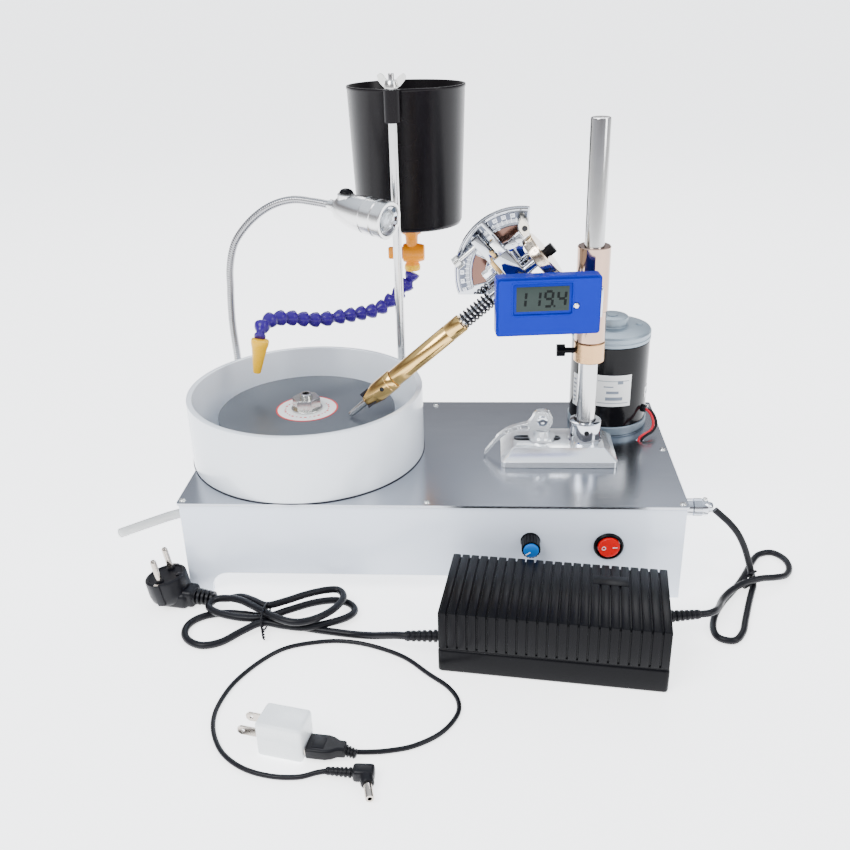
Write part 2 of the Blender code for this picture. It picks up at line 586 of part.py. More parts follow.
# ---------------------------------------------------------------- carriage on the mast
def build_carriage():
    spot = at(*MAST_CENTRE, 0)
    mx, my = MAST_CENTRE
    bore = MAST_RADIUS + GAP
    collar = turned("stop_collar", [(0.0124, 0.186), (0.0124, 0.169), (bore, 0.169),
                                    (bore, 0.186)], BRASS, spot, 20)
    screw_frame = at(mx, my, 0.1775) @ X_AXIS
    cut(collar, rod("screw_hole", 0.0029, -0.015, -0.006, None, screw_frame, True, 16))
    turned("collar_screw", [(0.0, -0.0083), (0.0025, -0.0083), (0.0025, -0.0195),
                            (0.005, -0.0195), (0.005, -0.0266), (0.0, -0.0266)],
           BLACK, screw_frame, 20)
    sleeve = turned("carriage_sleeve", [(0.0, 0.264), (0.0120, 0.264), (0.0130, 0.263),
                                        (0.0130, 0.2123), (0.0123, 0.2115), (0.0123, 0.1864),
                                        (0.0, 0.1864)], NICKEL, spot, 20)
    px, _, pz = PIVOT
    shoulder = block("shoulder", (0.117, -0.002, 0.219), (0.134, 0.0135, 0.240), guide=True)
    arm = block("pivot_arm", (px - 0.0095, 0.0062, 0.2200), (0.119, 0.0135, 0.2360),
                bevel=0.0008, guide=True)
    lug = block("pivot_lug", (px - 0.0095, 0.0062, 0.2260), (px + 0.0095, 0.0135, pz + 0.009),
                bevel=0.0008, guide=True)
    boss = block("display_boss", (0.119, DISPLAY_MIN[1] + DISPLAY_SIZE[1] + 0.0005, 0.214),
                 (0.135, -0.014, 0.238), None, 0.0, display_frame(), True)
    mast_hole = rod("mast_hole", bore, 0.180, 0.270, None, spot, True, 28)
    arm_hole = rod("arm_hole", 0.0044, -0.020, 0.0, None, at(px, 0, pz) @ FRONT_AXIS, True, 18)
    cut(join(sleeve, shoulder, arm, lug, boss), mast_hole, arm_hole)


def fan_pocket(name, start, end):
    """A curved pocket sunk in the fan's face, between two angles in degrees."""
    px, _, pz = PIVOT
    outer = arc(px, pz - FAN_DROP, 0.0378, start, end, 7)
    inner = arc(px, pz - FAN_DROP, 0.0275, end, start, 7)
    front = FAN_FRONT - 0.001
    middle = (front + FAN_FRONT + FAN_POCKET) / 2
    return outline(name, [outer + inner], FAN_POCKET + 0.001, None,
                   at(0, middle, 0) @ FRONT_AXIS, True)


def build_protractor():
    px, _, pz = PIVOT
    rim = arc(px, pz - FAN_DROP, FAN_RADIUS, 82.5, 200, 22)
    foot = [(px - 0.020, pz - 0.0202), (px - 0.011, pz - 0.011), (px + 0.0055, pz - 0.009),
            (px + 0.0055, pz + 0.010), (px + 0.0022, pz + 0.016), (px + 0.0022, pz + 0.027),
            (px + 0.0060, pz + 0.033), (px + 0.0066, pz + 0.047)]
    middle = FAN_FRONT + FAN_THICK / 2
    fan = as_mesh(outline("protractor", [rim + foot], FAN_THICK, None,
                          at(0, middle, 0) @ FRONT_AXIS))
    fan.data.materials.append(CHROME)
    hub_frame = at(px, 0, pz) @ FRONT_AXIS
    hub = rod("fan_hub", 0.0095, -0.0059, 0.0058, None, hub_frame, True, 24)
    bore = rod("fan_bore", 0.0044, -0.010, 0.010, None, hub_frame, True, 18)
    pockets = [as_mesh(fan_pocket("upper_pocket", 93, 124)),
               as_mesh(fan_pocket("lower_pocket", 157, 196))]
    cut(join(fan, hub), bore, *pockets)


def display_frame():
    """The case is turned a little about its own upright middle."""
    x = DISPLAY_MIN[0] + DISPLAY_SIZE[0] / 2
    y = DISPLAY_MIN[1] + DISPLAY_SIZE[1] / 2
    return at(x, y, 0) @ Matrix.Rotation(DISPLAY_TURN, 4, "Z") @ at(-x, -y, 0)


def build_display():
    low = Vector(DISPLAY_MIN)
    high = low + Vector(DISPLAY_SIZE)
    turned_case = display_frame()
    case = block("display_case", low, high, BLUE, 0.0015, turned_case)
    recess = block("recess", (0.0636, low.y - 0.002, 0.2232), (0.1081, low.y + 0.0015, 0.2471),
                   None, 0.001, turned_case, True)
    button_frame = turned_case @ at(0.1112, low.y, 0.2292) @ FRONT_AXIS
    hole = rod("button_hole", 0.0027, -0.005, 0.002, None, button_frame, True, 16)
    cut(case, recess, hole)
    turned("display_button", [(0.0, 0.0016), (0.0016, 0.0014), (0.0023, 0.0006),
                              (0.0023, -0.0030), (0.0, -0.0030)], STEEL, button_frame, 16)


# ---------------------------------------------------------------- tilting yoke and quill
def quill_frame():
    """A frame at the tilt pivot; +Z runs up the quill, -X is up and square to it."""
    return at(*PIVOT) @ Matrix.Rotation(pi / 2 - QUILL_SLOPE, 4, "Y")


def build_yoke():
    frame = quill_frame()
    yoke = block("yoke", (-0.0105, -0.009, -0.0114), (0.0095, 0.009, 0.0046), CHROME, 0.0008,
                 frame)
    slab = block("yoke_slab", (-0.0240, -0.009, -0.0080), (-0.009, 0.009, 0.0052), None, 0.0005,
                 frame, True)
    stop_arm = block("stop_arm", (-0.0450, -0.004, -0.0124), (-0.0080, 0.006, -0.0054), None,
                     0.0005, frame, True)
    rest = block("index_rest", (-0.0355, -0.009, -0.0020), (-0.0220, -0.003, 0.0040), None,
                 0.0005, frame, True)
    pointer = block("pointer", (-0.0490, 0.0079, 0.0010), (-0.0210, 0.0096, 0.0036), None, 0.0,
                    frame, True)
    pawl_arm = block("pawl_arm", (-0.0262, -0.006, 0.0030), (-0.0197, -0.001, 0.0145), None,
                     0.0, frame, True)
    boss = rod("spring_boss", 0.0072, -0.0290, -0.0100, None, frame, True, 24)
    sideways = frame @ FRONT_AXIS
    trunnion = rod("trunnion", 0.0040, -0.0305, 0.0200, None, sideways, True, 18)
    bore = rod("quill_bore", 0.0044, -0.040, 0.020, None, frame, True, 20)
    screw_hole = rod("stop_hole", 0.0024, -0.020, 0.0, None,
                     frame @ at(-0.039, 0.001, 0), True, 14)
    pawl_hole = rod("pawl_hole", 0.0018, 0.0, 0.0080, None,
                    frame @ at(-0.0230, 0, 0.0116) @ FRONT_AXIS, True, 14)
    join(yoke, slab, stop_arm, rest, pointer, pawl_arm, boss, trunnion)
    cut(yoke, bore, screw_hole, pawl_hole)
    turned("angle_stop_screw", [(0.0, -0.0050), (0.0020, -0.0050), (0.0020, -0.0285),
                                (0.0052, -0.0285), (0.0052, -0.0335), (0.0, -0.0335)],
           ZINC, frame @ at(-0.039, 0.001, 0), 18)
    shape = [(-0.0212, 0.0088), (-0.0203, 0.0140), (-0.0205, 0.0190), (-0.0201, 0.0256),
             (-0.0254, 0.0290), (-0.0300, 0.0294), (-0.0339, 0.0292), (-0.0330, 0.0262),
             (-0.0276, 0.0212), (-0.0264, 0.0090)]
    plane = frame @ Matrix.Rotation(-pi / 2, 4, "X")
    loop = [(x, -z) for x, z in shape]
    pawl = as_mesh(outline("index_pawl", [loop], 0.0052, None,
                           plane @ at(0, 0, 0.0022)))
    pawl.data.materials.append(NICKEL)
    pin = rod("pawl_pin", 0.0014, -0.004, 0.0060, None,
              frame @ at(-0.0230, 0, 0.0116) @ FRONT_AXIS, True, 12)
    join(pawl, pin)


def spring_points(radius, low, high, turns, per_turn=8):
    """Points along a coil on the quill's own axis."""
    frame = quill_frame()
    count = turns * per_turn
    points = []
    for i in range(count + 1):
        angle = 2 * pi * i / per_turn
        height = low + (high - low) * i / count
        points.append(frame @ Vector((radius * cos(angle), radius * sin(angle), height)))
    return points


def build_quill():
    frame = quill_frame()
    turned("quill_shaft", [(0.0, 0.0325), (0.0036, 0.0325), (0.0043, 0.0316), (0.0043, 0.0266),
                           (0.0040, 0.0266), (0.0040, -0.0694), (0.0, -0.0694)],
           CHROME, frame, 16)
    turned("index_wheel", [(0.0182, 0.0256), (WHEEL_RADIUS, 0.0248), (WHEEL_RADIUS, 0.0174),
                           (0.0182, 0.0166), (0.0043, 0.0166), (0.0043, 0.0256)],
           NICKEL, frame, 28)
    turned("quill_tube", [(0.0, -0.0700), (0.0043, -0.0700), (0.0043, -0.0598), (0.0070, -0.0598),
                          (0.0075, -0.0603), (0.0075, -0.1344), (0.0, -0.1344)], BRASS, frame, 18)
    turned("chuck", [(0.0, -0.1347), (0.0083, -0.1347), (0.0085, -0.1530), (0.0062, -0.1625),
                     (0.0048, -0.1662), (0.0032, -0.1662), (0.0032, -0.1540), (0.0, -0.1540)],
           BRASS, frame, 18)
    tip = -PIVOT_TO_TIP + 0.0024
    turned("dop_stick", [(0.0, -0.1544), (0.0028, -0.1544), (0.0028, tip), (0.0, tip)],
           STEEL, frame, 16)
    tube("quill_spring", spring_points(0.0055, -0.0587, -0.0302, 7), 0.0008, BLACK, 1)


# ---------------------------------------------------------------- water tank, valve and hose
def build_tank():
    spot = at(*ROD_CENTRE, 0)
    stud_top, sleeve_top = 0.385, 0.3725
    turned("tank_rod", [(0.0, stud_top), (0.0024, stud_top), (0.0024, sleeve_top), (ROD_RADIUS,
                        sleeve_top), (ROD_RADIUS, 0.0895), (0.009, 0.0895),
                        (0.009, PLATE_TOP + GAP), (0.0, PLATE_TOP + GAP)], STEEL, spot, 20)
    wall = 0.0025
    foot = TANK_HALF_WIDTH - 0.005
    tank = turned("water_tank", [(0.0, TANK_BOTTOM + 0.003), (foot - wall, TANK_BOTTOM + 0.003),
                                 (TANK_HALF_WIDTH - wall, TANK_TOP), (TANK_HALF_WIDTH, TANK_TOP),
                                 (foot, TANK_BOTTOM), (0.0, TANK_BOTTOM)], BLACK,
                  at(*TANK_CENTRE, 0) @ Matrix.Diagonal((1, TANK_FLATTEN, 1, 1)), 36)
    sleeve = rod("tank_sleeve", 0.0070, 0.346, sleeve_top, None, spot, True, 24)
    web = block("tank_web", (ROD_CENTRE[0] - 0.004, ROD_CENTRE[1], 0.348),
                (ROD_CENTRE[0] + 0.004, 0.0920, 0.370), guide=True)
    sleeve_hole = rod("sleeve_hole", ROD_RADIUS + 0.0004, 0.340, 0.380, None, spot, True, 20)
    outlet = rod("outlet", 0.003, 0.245, 0.258, None, at(*TANK_CENTRE, 0), True, 14)
    cut(join(tank, sleeve, web), sleeve_hole, outlet)
    nut = turned("tank_wing_nut", [(0.0045, 0.3800), (0.0058, 0.3735), (0.0027, 0.3735),
                                   (0.0027, 0.3800)], ZINC, spot, 20)
    for side, name in ((-1, "wing_left"), (1, "wing_right")):
        lean = at(side * 0.0046, 0, 0.3758) @ Matrix.Rotation(side * radians(38), 4, "Y")
        join(nut, block(name, (-0.0024, -0.0011, 0.0), (0.0024, 0.0011, 0.0105), None, 0.0006,
                        spot @ lean, True))


def build_valve():
    vx, vy, vz = VALVE_CENTRE
    upright = at(vx, vy, 0)
    valve = turned("valve_body", [(0.0, TANK_BOTTOM - GAP), (0.009, TANK_BOTTOM - GAP),
                                  (0.009, 0.243), (0.0058, 0.236), (0.0055, 0.212),
                                  (0.0075, 0.208), (0.0075, 0.2055), (0.0, 0.2055)],
                   ORANGE, upright, 20)
    sideways = at(vx, vy, vz) @ X_AXIS
    join(valve, rod("valve_barrel", 0.0087, -0.0082, 0.0118, None, sideways, True, 20))
    handle = rod("valve_handle", 0.0060, -0.0112, -0.0086, YELLOW, sideways, segments=18)
    fin = block("valve_fin", (-0.0055, -0.0016, -0.0225), (0.0055, 0.0016, -0.0100), None, 0.0006,
                sideways, True)
    join(handle, fin)


def build_hose():
    tube("hose_upper", smooth_route(HOSE_UPPER_ROUTE, 0.0105), HOSE_RADIUS, HOSE_BLUE, 2)
    tube("hose_lower", smooth_route(HOSE_LOWER_ROUTE, 0.0105), HOSE_RADIUS, HOSE_BLUE, 2)
    turned("hose_nozzle", [(0.0, 0.0311), (0.0070, 0.0311), (0.0080, 0.0301), (0.0080, 0.0230),
                           (0.0058, 0.0180), (0.0032, 0.0010), (0.0024, 0.0), (0.0, 0.0)],
           YELLOW, along(NOZZLE_TIP, NOZZLE_TOP), 20)


# ---------------------------------------------------------------- lamp
def build_lamp():
    foot_x, foot_y, _ = LAMP_LOWER_ROUTE[0]
    lower = turned("lamp_neck_lower", [(0.0, 0.0935), (0.0055, 0.0935), (0.0080, 0.0900),
                                       (0.0080, PLATE_TOP + GAP), (0.0, PLATE_TOP + GAP)],
                   SATIN, at(foot_x, foot_y, 0), 20)
    stem = as_mesh(tube("lamp_stem", smooth_route(LAMP_LOWER_ROUTE, 0.011), NECK_RADIUS,
                        None, 1, True))
    join(lower, stem)
    tube("lamp_neck_upper", smooth_route(LAMP_UPPER_ROUTE, 0.0085), NECK_RADIUS, SATIN, 1)
    frame = along(LAMP_REAR, LAMP_FRONT)
    length = (Vector(LAMP_FRONT) - Vector(LAMP_REAR)).length
    head = turned("lamp_head", [(0.0, length - 0.005), (0.007, length - 0.005),
                                (0.0125, length), (LAMP_RADIUS - 0.0006, length),
                                (LAMP_RADIUS, length - 0.0006), (LAMP_RADIUS, 0.042),
                                (0.0138, 0.026), (0.0100, 0.012), (0.0060, 0.007),
                                (0.0048, GAP), (0.0, GAP)], SATIN, frame, 26)
    button_frame = lamp_button_frame(frame)
    seat = rod("button_seat", 0.0076, 0.004, 0.0132, None, button_frame, True, 24)
    join(head, seat)
    turned("lamp_button", [(0.0, 0.0178), (0.0035, 0.0172), (0.0060, 0.0155), (0.0060, 0.0144),
                           (0.0, 0.0144)], BLACK, button_frame, 20)


def lamp_button_frame(head_frame):
    """A frame on the lamp's axis whose +Z is as near to up as it can be."""
    axis = head_frame.to_3x3() @ Vector((0, 0, 1))
    up = Vector((0, 0, 1))
    radial = (up - axis * up.dot(axis)).normalized()
    origin = Vector(LAMP_REAR) + axis * 0.0185
    return along(origin, origin + radial)


# ---------------------------------------------------------------- leads, adapter and chargers
def build_adapter():
    frame = at(*ADAPTER_CENTRE, 0) @ Matrix.Rotation(ADAPTER_TURN, 4, "Z")
    x, y, z = ADAPTER_SIZE[0] / 2, ADAPTER_SIZE[1] / 2, ADAPTER_SIZE[2]
    brick = block("power_adapter", (-x, -y, 0.0), (x, y, z), BLACK, 0.003, frame, segments=2)
    left_side = (0.0135, -0.1755, 0.018)
    left_end = (-0.0118, -0.1762, 0.018)
    right_side = (0.1740, -0.1515, 0.020)
    right_end = (0.2040, -0.1472, 0.020)
    for name, start, end in (("relief_left", left_side, left_end),
                             ("relief_right", right_side, right_end)):
        length = (Vector(end) - Vector(start)).length
        relief = turned(name, [(0.0, length), (0.0034, length), (0.0048, 0.004), (0.0048, 0.0),
                               (0.0, 0.0)], None, along(start, end), 16, True)
        join(brick, relief)


def build_mains():
    loop = hull([p for x, y, r in MAINS_HANK_CIRCLES for p in circle(x, y, r, 24)])
    outline("mains_hank", [loop], MAINS_HANK_HEIGHT, RUBBER,
            at(0, 0, MAINS_HANK_HEIGHT / 2 + GAP))
    tube("mains_lead", smooth_route(MAINS_ROUTE, 0.012), MAINS_RADIUS, RUBBER)
    turn = at(*PLUG_CENTRE, 0) @ Matrix.Rotation(PLUG_TURN, 4, "Z")
    lean = turn @ Matrix.Rotation(-PLUG_LEAN, 4, "Y")
    plug = turned("mains_plug", [(0.0, 0.026), (0.0160, 0.026), (0.0168, 0.025), (0.0168, 0.012),
                                 (0.0135, 0.0045), (0.0, 0.0045)], RUBBER, lean, 24)
    neck = block("plug_neck", (-0.0110, -0.0105, 0.0004), (0.0215, 0.0095, 0.0155), None, 0.004,
                 turn, True)
    relief = turned("plug_relief", [(0.0, 0.0375), (0.0040, 0.0375), (0.0060, 0.0200),
                                    (0.0, 0.0200)], None, turn @ at(0, -0.0010, 0.0085) @ X_AXIS,
                    14, True)
    join(plug, neck, relief)
    for name, y in (("pin_front", -0.0095), ("pin_back", 0.0095)):
        join(plug, rod(name, 0.0024, 0.020, 0.0450, None, lean @ at(0, y, 0), True, 12))


def build_usb():
    frame = at(*CHARGER_CENTRE, 0) @ Matrix.Rotation(CHARGER_TURN, 4, "Z")
    charger = block("usb_charger", (-0.0158, -0.0110, 0.0), (0.0158, 0.0110, 0.027), WHITE, 0.003,
                    frame, segments=2)
    for name, y in (("blade_front", -0.0064), ("blade_back", 0.0064)):
        join(charger, block(name, (-0.0300, y - 0.0008, 0.0120), (-0.0120, y + 0.0008, 0.0184),
                            None, 0.0, frame, True))
    plug_frame = at(*USB_PLUG_PLACE, 0) @ Matrix.Rotation(USB_PLUG_TURN, 4, "Z")
    join(charger, block("usb_plug", (-0.0040, -0.0080, 0.0030), (0.0280, 0.0080, 0.0110), None,
                        0.0015, plug_frame, True))
    tube("usb_lead", smooth_route(USB_ROUTE, 0.0130), USB_RADIUS, RUBBER, 1)
    body = block("lamp_jack", (-0.0390, -0.3015, 0.0), (-0.0240, -0.2915, 0.0100), BLACK, 0.002)
    barrel = rod("jack_barrel", 0.0028, 0.0, 0.0190, None,
                 along((-0.0295, -0.2990, 0.005), (-0.0253, -0.3175, 0.005)), True, 16)
    relief = turned("jack_relief", [(0.0, 0.0180), (0.0024, 0.0180), (0.0034, 0.0), (0.0, 0.0)],
                    None, along((-0.0350, -0.2968, 0.005), (-0.0527, -0.2956, 0.005)), 14, True)
    join(body, barrel, relief)


def build_leads():
    tube("drain_hose", smooth_route(DRAIN_ROUTE, 0.010), DRAIN_RADIUS, CLEAR, 2)
    tube("dc_cable", smooth_route(DC_ROUTE, 0.0100), DC_RADIUS, RUBBER, 1)


# ---------------------------------------------------------------- joints
# Each moving group: its parent group, the place of its joint, and its parts.
GROUPS = [
    ("lap", "machine", (*LAP_CENTRE, LAP_TOP), ["lap_arbor", "lap_disc", "lap_nut"]),
    ("motor", "machine", (*MOTOR_CENTRE, 0.120), ["motor_rotor"]),
    ("knob", "machine", (KNOB_PLACE[0], -0.0985, KNOB_PLACE[1]), ["speed_knob"]),
    ("rocker", "machine", (SWITCH_PLACE[0], -0.0985, SWITCH_PLACE[1]), ["switch_rocker"]),
    ("lever", "machine", (CLAMP_X, -0.0125, CAM_HEIGHT), ["clamp_lever"]),
    ("mast", "machine", (*MAST_CENTRE, BASE_TOP), ["mast_base", "mast_rod"]),
    ("collar", "mast", (*MAST_CENTRE, 0.1775), ["stop_collar"]),
    ("thumbscrew", "collar", (0.110, MAST_CENTRE[1], 0.1775), ["collar_screw"]),
    ("carriage", "collar", (*MAST_CENTRE, 0.225),
     ["carriage_sleeve", "protractor", "display_case"]),
    ("button", "carriage", (0.1118, -0.0508, 0.2292), ["display_button"]),
    ("tilt", "carriage", PIVOT, ["yoke", "quill_spring"]),
    ("stop_screw", "tilt", PIVOT, ["angle_stop_screw"]),
    ("pawl", "tilt", PIVOT, ["index_pawl"]),
    ("quill", "tilt", PIVOT, ["quill_tube"]),
    ("spindle", "quill", PIVOT, ["quill_shaft", "index_wheel", "chuck", "dop_stick"]),
    ("tank", "machine", (*ROD_CENTRE, 0.360), ["water_tank", "valve_body"]),
    ("wing_nut", "machine", (*ROD_CENTRE, 0.376), ["tank_wing_nut"]),
    ("valve", "tank", VALVE_CENTRE, ["valve_handle"]),
    ("hose_top", "tank", HOSE_UPPER_ROUTE[0], ["hose_upper"]),
    ("hose_end", "hose_top", HOSE_LOWER_ROUTE[0], ["hose_lower"]),
    ("nozzle", "hose_end", NOZZLE_TOP, ["hose_nozzle"]),
    ("lamp_arm", "machine", (-0.1888, 0.087, 0.2042), ["lamp_neck_upper"]),
    ("lamp", "lamp_arm", LAMP_REAR, ["lamp_head"]),
    ("lamp_switch", "lamp", LAMP_REAR, ["lamp_button"]),
]


def parent_to(child, parent):
    child.parent = parent
    child.matrix_parent_inverse = parent.matrix_world.inverted()


def add_empty(name, place):
    empty = bpy.data.objects.new(name, None)
    empty.location = place
    PARTS.objects.link(empty)
    return empty


def build_groups():
    """Hang every part on the empty of its moving group, and all of them on the machine."""
    pivots = {"machine": add_empty("machine_pivot", (0, 0, 0))}
    owner = {}
    for group, _, place, nodes in GROUPS:
        pivots[group] = add_empty(group + "_pivot", place)
        for node in nodes:
            owner[node] = group
    bpy.context.view_layer.update()
    for group, parent, _, _ in GROUPS:
        parent_to(pivots[group], pivots[parent])
    bpy.context.view_layer.update()
    for obj in list(PARTS.objects) + list(GUIDES.objects):
        if obj.type != "EMPTY":
            parent_to(obj, pivots[owner.get(obj.name, "machine")])
    return pivots["machine"]


def footprint_centre():
    """The middle of the machine's outline on the bench, without its loose leads."""
    bpy.context.view_layer.update()
    graph = bpy.context.evaluated_depsgraph_get()
    low = Vector((1.0, 1.0))
    high = Vector((-1.0, -1.0))
    for obj in PARTS.objects:
        if obj.type == "EMPTY" or obj.name in CORD_NODES:
            continue
        evaluated = obj.evaluated_get(graph)
        mesh = evaluated.to_mesh()
        for vertex in mesh.vertices:
            place = obj.matrix_world @ vertex.co
            low = Vector((min(low.x, place.x), min(low.y, place.y)))
            high = Vector((max(high.x, place.x), max(high.y, place.y)))
        evaluated.to_mesh_clear()
    return (low + high) / 2


def shade_round_parts():
    for obj in PARTS.objects:
        if obj.type == "MESH":
            obj.data.shade_smooth()
            obj.data.set_sharp_from_angle(angle=radians(35))


def main():
    build_chassis()
    build_lap()
    build_drive()
    build_controls()
    build_mast()
    build_clamp()
    build_carriage()
    build_protractor()
    build_display()
    build_yoke()
    build_quill()
    build_tank()
    build_valve()
    build_hose()
    build_lamp()
    build_adapter()
    build_mains()
    build_usb()
    build_leads()
    machine = build_groups()
    shade_round_parts()
    centre = footprint_centre()
    machine.location = (-centre.x, -centre.y, 0.0)
    bpy.context.view_layer.update()
    print("origin moved by", -centre.x, -centre.y)


main()
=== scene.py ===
"""The finished look of the faceting machine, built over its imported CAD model.

Shapes are written in millimetres from the middle of the top plate, at bench height, and are
turned into metres in the model's own frame when each mesh is made.
"""
from math import ceil, cos, pi, radians, sin

import bpy
import bmesh
from mathutils import Matrix, Vector

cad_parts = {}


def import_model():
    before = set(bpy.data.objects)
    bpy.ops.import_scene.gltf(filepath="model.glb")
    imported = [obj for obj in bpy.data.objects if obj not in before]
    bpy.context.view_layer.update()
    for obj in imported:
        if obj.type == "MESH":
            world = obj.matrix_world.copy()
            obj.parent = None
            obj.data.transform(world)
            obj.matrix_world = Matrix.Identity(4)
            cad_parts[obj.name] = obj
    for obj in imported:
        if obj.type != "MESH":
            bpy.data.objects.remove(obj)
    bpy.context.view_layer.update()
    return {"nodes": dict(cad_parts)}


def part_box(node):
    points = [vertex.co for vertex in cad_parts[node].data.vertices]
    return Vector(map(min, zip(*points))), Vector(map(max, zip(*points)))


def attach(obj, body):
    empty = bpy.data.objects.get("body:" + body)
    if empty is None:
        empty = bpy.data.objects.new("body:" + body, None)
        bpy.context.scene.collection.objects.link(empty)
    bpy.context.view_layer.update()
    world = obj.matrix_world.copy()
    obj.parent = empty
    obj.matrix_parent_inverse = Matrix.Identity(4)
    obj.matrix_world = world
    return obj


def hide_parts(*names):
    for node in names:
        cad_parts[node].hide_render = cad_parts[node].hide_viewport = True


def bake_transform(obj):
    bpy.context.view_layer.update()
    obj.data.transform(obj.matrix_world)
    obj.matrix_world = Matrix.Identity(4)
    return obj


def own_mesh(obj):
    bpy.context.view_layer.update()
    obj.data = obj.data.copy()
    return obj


# ---------------------------------------------------------------- places and sizes (mm)
MM = 0.001
CAMERA_PLACE = (44.0, -735.3, 451.1)
CAMERA_YAW = -4.05
CAMERA_PITCH = 25.07
CAMERA_ROLL = -1.58
CAMERA_LENS = 39.97

PLATE_TOP = 84.0
SEAT = PLATE_TOP + 0.3                   # what stands on the plate starts just clear of it
DC_RADIUS = 2.7
MAINS_RADIUS = 2.9
USB_RADIUS = 1.75
MOTOR_LEAD_RADIUS = 1.2
LAP_CENTRE = (-109.5, 0.0)
LAP_TOP = 121.7
MOTOR_CENTRE = (154.4, 60.3)
MAST_CENTRE = (128.0, -7.5)
CLAMP_X = 91.5
CAM_HEIGHT = 117.2
PIVOT = (71.0, -18.0, 244.6)
QUILL_SLOPE = 40.58
FAN_FRONT = -6.0
FAN_RADIUS = 51.9
FAN_DROP = 2.5
DISPLAY_MIDDLE = (90.7, -46.0)
DISPLAY_TURN = 6.0
ROD_CENTRE = (-34.2, 85.0)
TANK_CENTRE = (-26.3, 135.0)
VALVE_CENTRE = (-25.3, 135.0, 222.0)
LAMP_REAR = (-89.9, 70.0, 281.5)
LAMP_FRONT = (-35.5, 36.0, 274.8)
ADAPTER_CENTRE = (95.0, -165.0)
ADAPTER_SIZE = (162.0, 77.0, 52.0)
ADAPTER_TURN = -6.8
PLUG_CENTRE = (-208.5, -113.0)
PLUG_TURN = -10.0
PLUG_LEAN = 10.0
CHARGER_CENTRE = (-85.5, -272.1)
CHARGER_TURN = -12.5
USB_PLUG_PLACE = (-71.5, -276.5)
USB_PLUG_TURN = -6.0

HOSE_UPPER_ROUTE = [(-25.4, 135, 202.2), (-26.8, 134.5, 197.2), (-32, 132, 190.5),
                    (-42, 126, 182.5), (-51, 120, 175.5), (-61.4, 113, 172.5),
                    (-74.6, 105, 172.2), (-87.7, 97, 172.6), (-99, 90, 172.8)]
HOSE_LOWER_ROUTE = [(-100.8, 88.8, 173.0), (-112.7, 81, 174.5), (-123.5, 73, 178.2),
                    (-134.1, 65, 182), (-143.4, 56, 184.3), (-150, 46, 184.2),
                    (-152.6, 38, 181), (-152.4, 32.5, 176.5)]
NOZZLE_TOP = (-152.0, 31.0, 174.2)
NOZZLE_TIP = (-157.4, 28.0, 143.7)
LAMP_NECK_ROUTE = [(-189.5, 87, 90), (-189.5, 87, 110), (-189.8, 87, 136), (-190.8, 87, 167),
                   (-190, 87, 190), (-188.7, 87, 205.5), (-187.7, 87, 219.2),
                   (-183.8, 86.6, 236), (-177, 86, 250), (-161.8, 84, 266.5), (-143, 81, 279),
                   (-122.8, 78, 284.6), (-103.4, 74.2, 283.2), (-90.6, 70.4, 281.6)]
DRAIN_ROUTE = [(-189, -84, 69.2), (-198.5, -84, 67.2), (-212, -84, 63.3), (-231, -84, 56.3),
               (-256.4, -84, 46.5)]
DC_ROUTE = [(228.2, -65, 62), (233.5, -66, 57.5), (240.8, -68, 51), (248, -69.5, 42),
            (254, -71, 30), (258.5, -73.5, 16.5), (261, -78, 7), (260.5, -85, 3.2),
            (256.5, -95, 3), (250, -112, 3), (243.5, -130, 3), (237.5, -146, 3), (229, -156, 3),
            (218.5, -153, 3), (216.5, -142, 3), (221.5, -125, 3), (231, -108, 3), (242, -93, 3),
            (251, -80, 3), (259, -66.5, 3), (267, -52, 3), (276, -39, 3), (288, -35, 3),
            (296, -44, 3), (296.5, -58, 3.2), (290, -71, 4.5), (279, -79, 7.5), (266, -84, 9.6),
            (253, -90, 9.8), (241, -99, 9.8), (232, -109.5, 10.2), (226.2, -120, 12),
            (222, -131, 15.2), (217, -140, 18.2), (210.8, -145.4, 19.7), (205, -147, 20)]
USB_ROUTE = [(-41.5, -279, 5), (-33, -277.5, 3.4), (-18.9, -274.5, 2), (-1.8, -269.4, 2),
             (15.1, -257.3, 2), (25.2, -240.4, 2), (25.6, -226, 2), (18, -212, 2),
             (3.5, -198.5, 2), (-14.6, -181.2, 2), (-35.8, -170, 2), (-56.6, -164, 2),
             (-77.1, -164, 2), (-103.1, -171.5, 2), (-119.8, -186.8, 2), (-134.1, -210.8, 2),
             (-139.9, -233.3, 2), (-139.7, -250.7, 2), (-134.1, -267.3, 2), (-123.9, -282, 2),
             (-108.3, -293.1, 2), (-90.1, -298.5, 2), (-72.9, -299, 2.4), (-61, -296.6, 4.2),
             (-54.5, -295.8, 4.9)]
